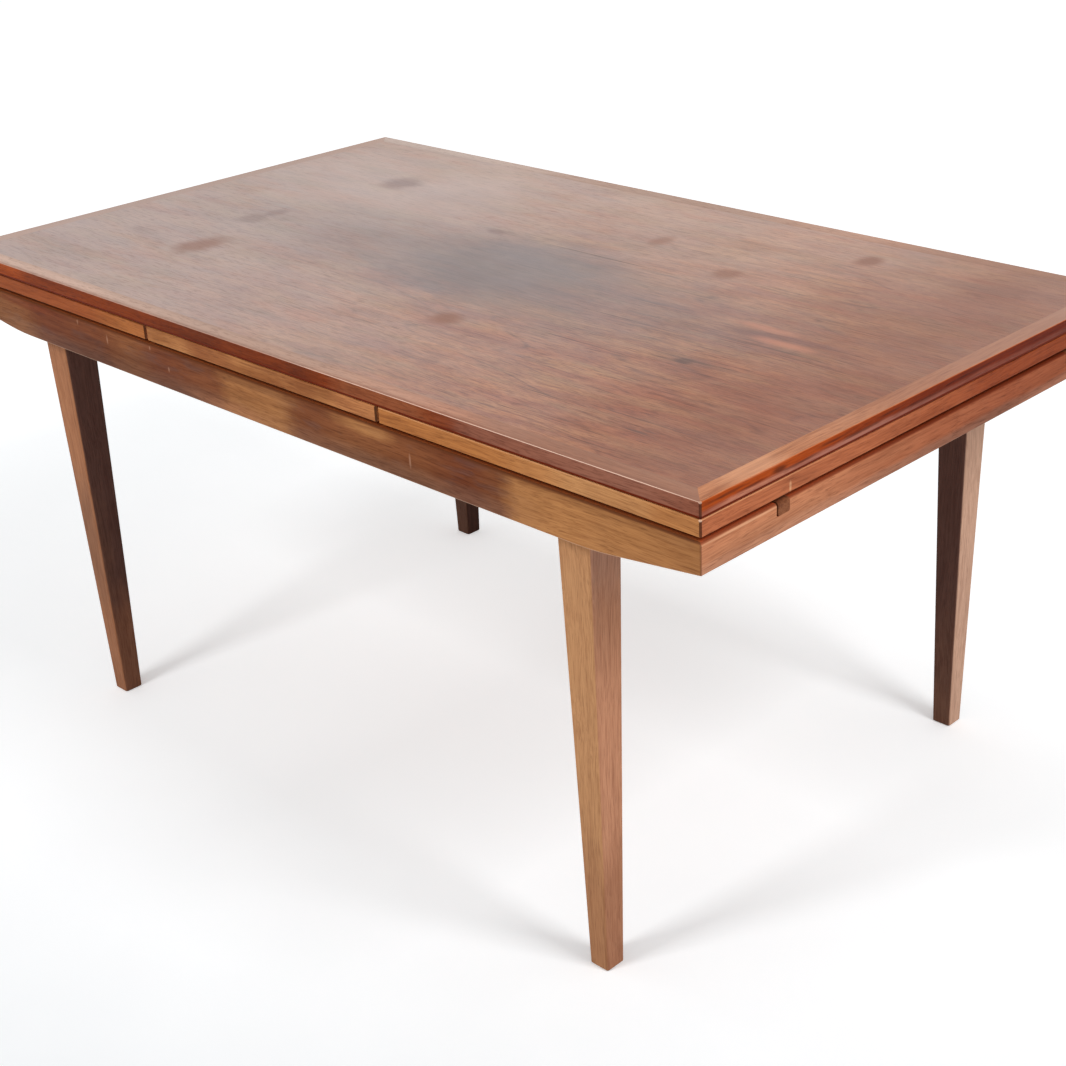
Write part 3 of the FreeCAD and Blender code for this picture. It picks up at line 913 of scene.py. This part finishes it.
    def finish_all(self) -> None:
        """Dress the panel, the four lippings and the pegs."""
        mellow = Mottle(paint(150, 114, 82), 0.5, (8.0, 50.0, 1.0), offset=(1.3, 0.0, 0.0))
        darkening = ((0.38, 0.0), (0.52, 0.5), (0.66, 1.0), (0.76, 1.0))
        uneven = (
            (paint(212, 220, 238), 0.28, (6.0, 22.0, 1.0), (0.44, 0.66), (2.1, 0.4, 0.0)),
            (paint(255, 224, 210), 0.36, (7.0, 30.0, 1.0), (0.46, 0.66), (0.7, 1.4, 0.0)),
            (paint(240, 246, 220), 0.26, (5.0, 17.0, 1.0), (0.46, 0.66), (4.7, 0.8, 0.0)),
            (paint(176, 160, 156), 0.42, (40.0, 420.0, 1.0), (0.5, 0.68), (5.1, 2.4, 0.0)),
        )
        self.dress("main_top_panel", WoodFinish(
            "finish_top_veneer", Grain.LENGTHWISE, TOP_WARM, TOP_PALE, (0.4, 0.2, 0.0), VENEER,
            figure=0.7, streaks=0.88, gloss=(0.36, 0.48), shine=0.3, layers=(mellow,),
            veils=(
                *self.painted_haze(paint(183, 164, 158), 0.77),
                Tint(paint(128, 77, 56), 0.62, Axis.X, darkening, 0.02),
                *(Mottle(*look, Blend.DARKEN) for look in uneven), *self.stains(),
            ),
        ))
        for side, sign in zip(("front", "back"), SIGNS):
            self.side_lipping(side, sign)
        for side, sign in zip(("left", "right"), SIGNS):
            self.end_lipping(side, sign)
        self.dress("main_top_pegs", PLAIN_BEECH)

    def side_lipping(self, side: str, sign: float) -> None:
        """Dress the lipping along one long side.

        Args:
            side: Front or back.
            sign: -1 for the front and 1 for the back.
        """
        out = (0.0, sign, 0.0)
        # Red at the left end, tan and grey towards the right one, dark in two places
        edge = (
            (paint(164, 72, 20), 0.9, 0.02, (
                (-0.76, 1.0), (-0.6, 1.0), (-0.54, 0.1), (0.2, 0.0), (0.3, 0.2), (0.38, 0.0),
                (0.76, 0.0),
            )),
            (paint(162, 116, 98), 0.6, 0.02, ((0.34, 0.0), (0.41, 0.8), (0.66, 1.0), (0.76, 0.7))),
            (paint(152, 92, 60), 0.62, 0.02, ((0.14, 0.0), (0.2, 0.9), (0.31, 1.0), (0.37, 0.0))),
            (paint(92, 40, 21), 0.6, 0.01, (
                (-0.24, 0.0), (-0.2, 0.4), (-0.1, 1.0), (-0.05, 0.4), (0.06, 0.4), (0.1, 1.0),
                (0.15, 0.0),
            )),
        )
        worn = ((-0.42, 0.0), (-0.26, 0.7), (-0.12, 1.0), (0.06, 1.0), (0.24, 0.2), (0.34, 0.0))
        inward = ((-0.424, 0.0), (-0.414, 1.0), (0.414, 1.0), (0.424, 0.0))
        outward = ((-0.44, 1.0), (-0.4355, 1.0), (-0.4325, 0.0), (0.44, 0.0))
        right = ((0.34, 0.0), (0.5, 0.85), (0.7, 1.0))
        self.dress("main_top_lipping_" + side, WoodFinish(
            "finish_top_lipping_" + side, Grain.LENGTHWISE, paint(176, 116, 88),
            paint(196, 138, 106), (1.7 * sign, 0.9, 0.3), gloss=(0.3, 0.42),
            layers=(
                Tint(paint(130, 55, 18), way=out),
                *(
                    Tint(colour, share, Axis.X, stops, loose, out)
                    for colour, share, loose, stops in edge
                ),
            ),
            veils=(
                *self.painted_haze(paint(212, 184, 168), 0.8, UP),
                Tint(paint(140, 112, 98), 0.26, Axis.Y, inward, 0.002, UP),
                Tint(paint(126, 66, 42), 0.45, Axis.Y, outward, 0.0006, UP),
                Tint(paint(148, 126, 114), 0.38, Axis.X, worn, 0.02, UP),
                Patch((-0.66, 0.425, LEVEL), (0.3, 0.05, 0.01), paint(208, 198, 192), 0.45),
                Mottle(paint(176, 160, 156), 0.4, (60.0, 420.0, 420.0), blend=Blend.DARKEN),
                Tint(paint(142, 108, 92), 0.6, Axis.X, right, 0.02, UP),
                *self.arris(out),
            ),
        ))

    def end_lipping(self, side: str, sign: float) -> None:
        """Dress the lipping across one end.

        Args:
            side: Left or right.
            sign: -1 for the left and 1 for the right.
        """
        out = (sign, 0.0, 0.0)
        end = HALF_LENGTH * sign
        darkening = ((-0.44, 0.0), (-0.26, 0.1), (-0.14, 0.6), (0.0, 0.85), (0.44, 1.0))
        greyed = ((0.7105, 1.0), (0.7165, 0.8), (0.7215, 0.0))
        dull = ((-0.3, 0.0), (0.0, 0.7), (0.44, 1.0))
        fleck = (paint(70, 24, 12), 0.6, 0.7, 0.9)
        marks = (
            (-0.25, 0.7132, 0.225, 0.0052, paint(176, 122, 106), 0.6, 0.7, 0.5),
            (-0.345, 0.7135, 0.07, 0.0048, paint(200, 130, 100), 0.56, 0.5, 0.3),
            (-0.4, 0.7245, 0.03, 0.0016, *fleck),
            (-0.352, 0.72, 0.02, 0.0016, *fleck),
            (-0.27, 0.7185, 0.024, 0.0016, *fleck),
            (-0.215, 0.7245, 0.026, 0.0016, *fleck),
            (-0.16, 0.7195, 0.03, 0.0016, *fleck),
            (-0.105, 0.724, 0.022, 0.0016, *fleck),
            (-0.05, 0.7195, 0.04, 0.0016, *fleck),
            (0.06, 0.7225, 0.05, 0.0016, *fleck),
            (-0.31, 0.7225, 0.011, 0.0035, paint(64, 28, 16), 0.7, 0.7, 0.9),
        )
        light = (0.05, 0.045, 0.0018), paint(220, 164, 128), 0.4
        self.dress("main_top_lipping_" + side, WoodFinish(
            "finish_top_lipping_" + side, Grain.CROSSWISE, BAND_WARM, BAND_PALE,
            (2.3, 1.1 * sign, 0.7), gloss=(0.28, 0.4),
            layers=(
                Tint(paint(172, 72, 18), way=out),
                Tint(paint(98, 26, 6), 0.95, Axis.Y, darkening, 0.02, out),
                Tint(paint(138, 90, 78), 0.42, Axis.Z, greyed, 0.0012, out),
                *(
                    Patch((end, y, z), (0.02, wide, tall), *look)
                    for y, z, wide, tall, *look in marks
                ),
            ),
            veils=(
                Tint(paint(134, 98, 88), 0.72, Axis.Y, dull, 0.02, UP),
                Patch((0.745 * sign, -0.335, 0.7305), *light),
                *self.painted_haze(paint(184, 160, 150), 0.86, UP), *self.arris(out),
            ),
        ))


@dataclass
class DrawLeaf(Woodwork):
    """One draw leaf with its lippings, bearers, stop pins and screws.

    Attributes:
        side: Left or right.
    """

    side: str = "right"

    def edge_woods(self) -> dict[str, tuple[Colour, Colour]]:
        """Colours of the lippings; the right leaf's front is bleached most.

        Returns:
            Main and lighter colour by the name of the edge.
        """
        front = (paint(156, 80, 40), paint(174, 96, 50))
        if self.side == "right":
            front = (paint(200, 128, 70), paint(214, 152, 93))
        end = (paint(184, 107, 70), paint(199, 125, 86))
        return {"front": front, "back": end, "left": end, "right": end}

    def corners(self) -> Layers:
        """Painted highlights and painted shade on the edges of the leaf, its dark outer corners and
        painted glints.

        Returns:
            The tints and glints, from the lowest to the uppermost.
        """
        # The right leaf gets painted highlights on its upper edges and inner corners beside the
        # gap; the left leaf gets painted shade there
        if self.side == "right":
            outer, inner, inside = (1.0,), (-1.0,), paint(236, 190, 140)
            upper, across = paint(226, 166, 120), 0.8
            along = ((0.24, 0.75), (0.5, 0.75), (0.76, 0.25))
        else:
            outer, inner, inside = (-1.0,), (1.0,), paint(60, 32, 22)
            upper, across = paint(84, 32, 14), 0.6
            along = ((-0.76, 0.9), (-0.24, 0.7))
        ends = ((-0.44, 1.0), (-0.3, 0.7), (-0.14, 0.05), (0.44, 0.0))
        facing = (0.8, 0.95)
        return (
            *(Tint(upper, 0.8, Axis.X, along, 0.0, (0.0, y * SLANT, SLANT), facing) for y in SIGNS),
            *(
                Tint(upper, 0.8 * across, Axis.Y, ends, 0.0, (x * SLANT, 0.0, SLANT), facing)
                for x in SIGNS
            ),
            *corner_tints(CORNER, 0.85, (0.8, 0.93), outer),
            *corner_tints(inside, 0.85, facing, inner),
            *painted_corner_glints(0.7085, (0.0019, 0.0019, 0.0015), paint(242, 200, 170), 0.7, outer),
        )

    def finish_all(self) -> None:
        """Dress every piece of the leaf."""
        prefix = "leaf_" + self.side + "_"
        log = 5.0 if self.side == "right" else 8.0
        self.dress(prefix + "panel", WoodFinish(
            "finish_" + prefix + "veneer", Grain.LENGTHWISE, TOP_WARM, TOP_PALE, (log, 1.2, 0.0),
            VENEER, figure=0.7, streaks=0.7, shine=0.25,
        ))
        for number, (edge, woods) in enumerate(self.edge_woods().items()):
            self.lipping(edge, woods, (log, number * 1.3, 0.5))
        bearer = WoodFinish(
            "finish_" + prefix + "bearers", Grain.LENGTHWISE, paint(120, 70, 44),
            paint(146, 92, 62), (log, 0.4, 0.2), figure=0.4,
        )
        for name, finish in (
            ("bearer_front", bearer), ("bearer_back", bearer), ("stop_pins", PLAIN_BEECH),
            ("screws", STEEL),
        ):
            self.dress(prefix + name, finish)

    def lipping(self, edge: str, woods: tuple[Colour, Colour], cut: Place) -> None:
        """Dress one lipping of the leaf.

        Args:
            edge: Front, back, left or right.
            woods: Main colour and colour of the lighter bands.
            cut: Place in the log.
        """
        if edge in ("front", "back"):
            grain = Grain.LENGTHWISE
            bleached = ((0.46, 0.0), (0.5, 0.3), (0.6, 1.0), (0.67, 0.8), (0.71, 0.3))
            tanned = ((-0.4, 0.0), (-0.3, 1.0), (-0.24, 1.0))
            layers = (
                Tint(paint(242, 196, 140), 1.0, Axis.X, bleached, 0.01),
                Tint(paint(178, 112, 60), 0.7, Axis.X, tanned, 0.01),
            )
        else:
            grain = Grain.CROSSWISE
            darkening = (
                (-0.44, 0.0), (-0.2, 0.08), (-0.08, 0.2), (0.0, 0.5), (0.1, 0.9), (0.44, 1.0),
            )
            knock = (HALF_LENGTH, -0.29, 0.6965), (0.02, 0.0018, 0.006)
            layers = (
                Tint(paint(144, 65, 32), 1.0, Axis.Y, darkening, 0.02),
                Patch(*knock, paint(226, 170, 128), 0.75),
            )
        name = "leaf_" + self.side + "_lipping_" + edge
        self.dress(name, WoodFinish(
            "finish_" + name, grain, *woods, cut, gloss=(0.34, 0.46), layers=layers,
            veils=self.corners(),
        ))


@dataclass
class Underframe(Woodwork):
    """Aprons, rails, legs, centre board, glue blocks and fastenings."""

    def finish_all(self) -> None:
        """Dress every piece of the underframe."""
        for side, sign in zip(("front", "back"), SIGNS):
            self.side_apron(side, sign)
        for side, sign in zip(("left", "right"), SIGNS):
            self.end_apron(side, sign)
        self.legs()
        self.centre_board()
        for finish, names in (
            (PLAIN_BEECH, (
                "cross_rail_left", "cross_rail_right", "centre_rail_left", "centre_rail_right",
                "corner_blocks",
            )),
            (STEEL, ("centre_board_screws", "leg_bolts", "leg_washers", "leg_nuts")),
            (FELT, ("felt_strips",)),
        ):
            for name in names:
                self.dress(name, finish)

    def side_apron(self, side: str, sign: float) -> None:
        """Dress a side apron: dark, golden in broad patches that are partly bleaching and partly
        painted light growing towards the right end, dull along its lower edge.

        Args:
            side: Front or back.
            sign: -1 for the front and 1 for the back.
        """
        dull = ((0.6245, 1.0), (0.638, 0.7), (0.652, 0.0))
        # Golden bands along the apron: partly bleaching, partly painted light that grows towards
        # the right end
        bleach_and_painted_light = (
            (-0.76, 0.35), (-0.6, 0.28), (-0.52, 0.0), (-0.38, 0.05), (-0.3, 0.25), (-0.22, 0.02),
            (-0.1, 0.1), (-0.05, 0.6), (0.04, 0.66), (0.1, 0.1), (0.2, 0.22), (0.3, 0.16),
            (0.4, 0.0), (0.45, 0.1), (0.49, 0.78), (0.56, 0.96), (0.66, 0.86), (0.76, 0.7),
        )
        # Patches along the apron; the two darker ones along the top edge, at 0.6775 high, are
        # painted shade below the leaf
        patches = (
            (0.215, 0.6745, 0.05, 0.009, GOLDEN, 0.75),
            (-0.57, 0.6765, 0.09, 0.008, paint(126, 54, 22), 0.56),
            (-0.01, 0.6775, 0.15, 0.0065, paint(100, 58, 36), 0.38),
            (0.62, 0.6775, 0.15, 0.006, paint(134, 86, 50), 0.38),
            (-0.33, 0.643, 0.15, 0.019, paint(88, 50, 36), 0.4),
            (-0.43, 0.632, 0.11, 0.008, paint(80, 50, 42), 0.34),
            (-0.06, 0.632, 0.08, 0.008, paint(176, 118, 84), 0.36),
            (0.25, 0.632, 0.1, 0.008, paint(84, 56, 48), 0.34),
        )
        scratches = (
            (-0.427, 0.6785, 0.0045), (-0.352, 0.666, 0.006), (-0.243, 0.6775, 0.003),
            (-0.202, 0.655, 0.003), (0.3, 0.653, 0.008),
        )
        scratch = paint(196, 150, 122), 0.4, 0.7, 0.4
        below = (0.0, SLANT * sign, -SLANT)
        self.dress("side_apron_" + side, WoodFinish(
            "finish_side_apron_" + side, Grain.LENGTHWISE, APRON_WARM, APRON_PALE,
            (11.0, 2.0, 0.3), figure=0.2, streaks=0.32, gloss=(0.38, 0.52),
            layers=(
                Mottle(paint(104, 70, 62), 0.55, (14.0, 30.0, 60.0), (0.5, 0.66)),
                Tint(paint(130, 92, 74), 0.7, Axis.Z, dull, 0.004),
                Tint(GOLDEN, 0.95, Axis.X, bleach_and_painted_light, 0.012),
                *(
                    Patch((x, HALF_DEPTH * sign, z), (wide, 0.05, tall), *look)
                    for x, z, wide, tall, *look in patches
                ),
            ),
            veils=(
                *(
                    Patch((x, -HALF_DEPTH, z), (0.0016, 0.05, tall), *scratch)
                    for x, z, tall in scratches
                ),
                # Painted shade on the apron's upper rounding and painted light on its flat top, in
                # the gap under the leaf
                Tint(paint(102, 57, 34), 0.9, way=UP, facing=(0.1, 0.75)),
                Tint(paint(148, 80, 42), way=UP, facing=(0.9, 0.99)),
                Tint(paint(214, 176, 150), 0.6, way=below, facing=(0.8, 0.96)),
                *self.corner_lines(),
            ),
        ))

    def end_apron(self, side: str, sign: float) -> None:
        """Dress an end apron: light at the front corner and darker towards the back.

        Args:
            side: Left or right.
            sign: -1 for the left and 1 for the right.
        """
        darkening = ((-0.44, 0.0), (-0.24, 0.12), (-0.1, 0.5), (0.0, 0.8), (0.16, 1.0), (0.44, 1.0))
        lower = ((0.6435, 1.0), (0.652, 0.7), (0.659, 0.0))
        deep = ((-0.3, 0.0), (0.0, 0.7), (0.44, 1.0))
        end = HALF_LENGTH * sign
        painted_highlight = paint(240, 184, 144), 0.45, 0.6, 0.3
        self.dress("end_apron_" + side, WoodFinish(
            "finish_end_apron_" + side, Grain.CROSSWISE, END_WARM, END_PALE,
            (13.0, 3.0 * sign, 0.6), figure=0.2, streaks=0.32, gloss=(0.38, 0.52),
            layers=(
                Tint(paint(156, 84, 54), 0.95, Axis.Y, darkening, 0.02),
                Tint(paint(182, 148, 127), 0.38, Axis.Z, lower, 0.002),
                Patch((end, -0.32, 0.66), (0.02, 0.13, 0.008), paint(150, 102, 76), 0.32),
                Patch((end, 0.06, 0.65), (0.02, 0.16, 0.008), paint(110, 72, 58), 0.45),
            ),
            veils=(
                # Painted shade on the apron's upper rounding and flat top, in the gap under the
                # leaf, deepest towards the back
                Tint(paint(136, 66, 40), 0.9, way=UP, facing=(0.25, 0.8)),
                Tint(paint(164, 76, 42), way=UP, facing=(0.9, 0.99)),
                Tint(paint(90, 28, 10), 0.8, Axis.Y, deep, 0.01, UP, (0.2, 0.85)),
                # Painted highlight along the upper edge near the front corner
                Patch((end, -0.37, 0.6788), (0.01, 0.07, 0.0013), *painted_highlight),
                *self.corner_lines(),
            ),
        ))

    def corner_lines(self) -> tuple[Tint, ...]:
        """Thin dark line on each upright corner of the frame."""
        return corner_tints(paint(104, 64, 44), 0.55, (0.85, 0.97))

    def legs(self) -> None:
        """Dress the legs: painted light makes the faces that the lamps reach tan, painted shade
        keeps the others dark.
        """
        # Painted light bounced up from the floor: lighter towards the foot of each leg
        painted_floor_bounce = Tint(paint(124, 88, 70), 0.75, Axis.Z, ((0.0, 1.0), (0.12, 0.5), (0.26, 0.0)), 0.02)
        worn = Tint(paint(148, 98, 70), 0.55, Axis.Z, ((0.0, 1.0), (0.12, 0.9), (0.22, 0.0)), 0.02)
        under_frame = (0.5, 0.0), (0.6, 1.0)
        # Painted shade under the apron, on the upper part of the front right leg's right face
        painted_shade_under_apron = Tint(paint(168, 138, 124), 0.4, Axis.Z, under_frame, 0.02, (1.0, 0.0, 0.0))
        # Painted shade halfway up the front left leg
        painted_shade_left_leg = Patch((-0.547, -0.41, 0.27), (0.022, 0.022, 0.11), paint(128, 90, 70), 0.65)
        # Colours of the front and right faces of each leg: painted light on those that the lamps
        # reach, painted shade on the others
        for number, (place, front, right, last) in enumerate((
            ("front_left", paint(176, 120, 85), paint(90, 62, 54), painted_shade_left_leg),
            ("front_right", paint(194, 143, 100), paint(194, 138, 106), painted_shade_under_apron),
            ("back_left", SHADED, paint(72, 46, 38), None),
            ("back_right", SHADED, paint(208, 166, 141), None),
        )):
            painted_front_light = Tint(front, way=(0.0, -1.0, 0.0), facing=(0.45, 0.75))
            painted_side_light = Tint(right, way=(1.0, 0.0, 0.0), facing=(0.45, 0.95))
            layers = (painted_floor_bounce, painted_front_light, painted_side_light, worn, last) if last else (painted_front_light, painted_floor_bounce, painted_side_light)
            self.dress("leg_" + place, WoodFinish(
                "finish_leg_" + place, Grain.UPRIGHT, SHADED, paint(102, 70, 60),
                (0.7 * number, 15.0, 1.9 * number), figure=0.15, streaks=0.22, pores=0.2,
                layers=layers,
            ))

    def centre_board(self) -> None:
        """Dress the fixed centre board."""
        self.dress("centre_board_panel", WoodFinish(
            "finish_centre_board", Grain.LENGTHWISE, TOP_WARM, TOP_PALE, (17.0, 0.5, 0.0), VENEER,
            figure=0.7, streaks=0.7, shine=0.25,
        ))
        bands = (
            (-0.17, 0.0), (-0.12, 1.0), (-0.07, 0.7), (-0.03, 0.0), (0.05, 0.3), (0.1, 0.6),
            (0.15, 0.0),
        )
        layers = (
            Tint(paint(142, 80, 46), 0.75, Axis.X, bands, 0.01),
            Tint(paint(196, 130, 82), 0.8, Axis.X, ((0.14, 0.0), (0.19, 1.0), (0.26, 0.8)), 0.01),
        )
        for side, sign in zip(("front", "back"), SIGNS):
            # Painted highlight on the corners at the left end and painted shade on those at the
            # right end, beside the gaps to the leaves
            painted_highlight, dark = (
                Tint(colour, 0.85, way=(end * SLANT, sign * SLANT, 0.0), facing=(0.8, 0.95))
                for colour, end in ((paint(240, 194, 146), -1.0), (paint(60, 32, 22), 1.0))
            )
            self.dress("centre_board_lipping_" + side, WoodFinish(
                "finish_centre_board_lipping_" + side, Grain.LENGTHWISE, paint(156, 98, 56),
                paint(184, 124, 76), (19.0, 0.5, 0.8), Figure(clouds=(7.0, 40.0)), figure=0.6,
                streaks=0.5, layers=layers, veils=(painted_highlight, dark),
            ))


PLAIN_BEECH = WoodFinish(
    "finish_rails", Grain.CROSSWISE, paint(180, 136, 92), paint(200, 160, 114), (21.0, 0.0, 0.0),
    figure=0.3, streaks=0.4, pores=0.3, gloss=(0.5, 0.65),
)
STEEL = SteelFinish("finish_steel", paint(196, 194, 188), paint(140, 132, 118))
FELT = FeltFinish("finish_felt", paint(70, 92, 66), paint(38, 52, 38))


@dataclass
class Studio:
    """Pale floor, soft lamps and even surrounding light.

    Attributes:
        floor_half: Half the side of the floor, in metres.
        dim_place: Middle of the part of the floor where the painted glow is least, near the viewer.
        shade_place: Middle of the soft shade under the table, where the painted glow is kept up to
            lighten that shade.
        around: Strength of the surrounding light on the table and the floor.
        aim: Point that the lamps face.
    """

    floor_half: float = 14.0
    dim_place: Place = (0.92, -0.6, 0.0)
    shade_place: Place = (0.35, 0.04, 0.0)
    around: float = 0.52
    aim: Place = (0.0, 0.0, 0.5)

    def floor(self) -> None:
        """Lay the pale floor: it bounces light as white paint does, and a glow that the camera sees
        paints light on it, least near the viewer, lightening the shade under the table and pale far
        out.
        """
        bpy.ops.mesh.primitive_plane_add(size=2 * self.floor_half, location=(0, 0, 0))
        floor = bpy.context.active_object
        floor.name = "studio_floor"
        recipe = Recipe.fresh("studio_floor")
        place = recipe.place()
        cloud = recipe.spread(recipe.noise(place, (1.5, 1.5, 1.5), 4.0), 0.3, 0.7)
        recipe.dial("Base Color", recipe.blend(cloud, paint(244, 247, 249), paint(248, 251, 253)))
        recipe.dial("Roughness", 0.9)
        recipe.dial("Specular IOR Level", 0.1)
        near, under = (
            recipe.vector("LENGTH", recipe.vector("SUBTRACT", place, middle))
            for middle in (self.dim_place, self.shade_place)
        )
        # Painted light on the floor: the glow grows away from dim_place and falls away from
        # shade_place, so that the shade under the table is lightened
        rise = recipe.spread(near, 0.15, 3.25, 0.1, 1.1)
        drop = recipe.spread(under, 0.37, 2.07, 0.0, 0.67)
        far = recipe.spread(near, 2.8, 5.0, 0.0, 0.08)
        shown = recipe.number("ADD", recipe.number("SUBTRACT", rise, drop), far)
        glow = recipe.add("Emission")
        recipe.feed(glow.inputs["Strength"], recipe.number("MULTIPLY", shown, recipe.seen()))
        both = recipe.add("AddShader")
        recipe.feed(both.inputs[0], recipe.shader.outputs[0])
        recipe.feed(both.inputs[1], glow.outputs[0])
        output = recipe.block.node_tree.nodes["Material Output"]
        recipe.feed(output.inputs["Surface"], both.outputs[0])
        floor.data.materials.append(recipe.block)

    def lamp(self, name: str, place: Place, side: float, share: float) -> None:
        """Hang one square softbox.

        Args:
            name: Name of the lamp.
            place: Middle of the softbox.
            side: Side of the square.
            share: Light on a surface that faces it at the aim, where 1 shows white as white.
        """
        towards = Vector(self.aim) - Vector(place)
        data = bpy.data.lights.new(name, "AREA")
        data.shape = "SQUARE"
        data.size = side
        data.energy = share * math.pi**2 * towards.length_squared
        lamp = bpy.data.objects.new(name, data)
        lamp.location = place
        lamp.rotation_euler = towards.to_track_quat("-Z", "Y").to_euler()
        bpy.context.scene.collection.objects.link(lamp)

    def surroundings(self) -> None:
        """Even white light from all round, which shows as white to the camera."""
        world = bpy.data.worlds.new("studio")
        bpy.context.scene.world = world
        world.use_nodes = True
        recipe = Recipe(world)
        background = world.node_tree.nodes["Background"]
        recipe.feed(background.inputs["Color"], (1.0, 1.0, 1.0))
        level = recipe.spread(recipe.seen(), 0.0, 1.0, self.around, 1.0, "LINEAR")
        recipe.feed(background.inputs["Strength"], level)

    def build(self) -> None:
        """Set up the floor and all light."""
        self.floor()
        self.surroundings()
        self.lamp("front_softbox", (-0.33, -3.3, 3.4), 1.0, 0.34)
        self.lamp("right_softbox", (3.0, 0.05, 3.1), 1.1, 0.39)
        bpy.context.scene.view_settings.view_transform = "Standard"


@dataclass
class TableCamera:
    """Camera in front of the right-hand corner, looking down on the top.

    Attributes:
        place: Its place in metres.
        turn: Heading in radians, from +Y towards +X.
        pitch: How far it looks down, in radians.
        roll: How far it leans, in radians.
        lens: Focal length for a frame 36 mm wide, in millimetres.
        shift_x: Sideways shift of the frame, as a share of its width.
    """

    place: Place = (1.86679, -1.72438, 1.50626)
    turn: float = -0.77906
    pitch: float = 0.44439
    roll: float = -0.04256
    lens: float = 61.387
    shift_x: float = -0.05277

    def build(self) -> None:
        """Create the camera and make it the scene's own."""
        ahead = Vector((
            math.cos(self.pitch) * math.sin(self.turn),
            math.cos(self.pitch) * math.cos(self.turn),
            -math.sin(self.pitch),
        ))
        level = Vector((math.cos(self.turn), -math.sin(self.turn), 0.0))
        upward = level.cross(ahead)
        right = math.cos(self.roll) * level + math.sin(self.roll) * upward
        up = math.cos(self.roll) * upward - math.sin(self.roll) * level
        data = bpy.data.cameras.new("table_camera")
        data.lens = self.lens
        data.sensor_width = 36.0
        data.shift_x = self.shift_x
        data.clip_end = 100.0
        camera = bpy.data.objects.new("table_camera", data)
        turned = Matrix((right, up, -ahead)).transposed().to_4x4()
        camera.matrix_world = Matrix.Translation(self.place) @ turned
        bpy.context.scene.collection.objects.link(camera)
        bpy.context.scene.camera = camera


def main() -> None:
    """Dress the table, light it and set the camera."""
    logging.basicConfig(level=logging.INFO, format="%(message)s")
    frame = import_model()
    nodes = frame["nodes"]
    made: dict[str, bpy.types.Material] = {}
    MainTop(nodes, made).finish_all()
    DrawLeaf(nodes, made, "left").finish_all()
    DrawLeaf(nodes, made, "right").finish_all()
    Underframe(nodes, made).finish_all()
    Studio().build()
    TableCamera().build()


if __name__ == "__main__":
    main()
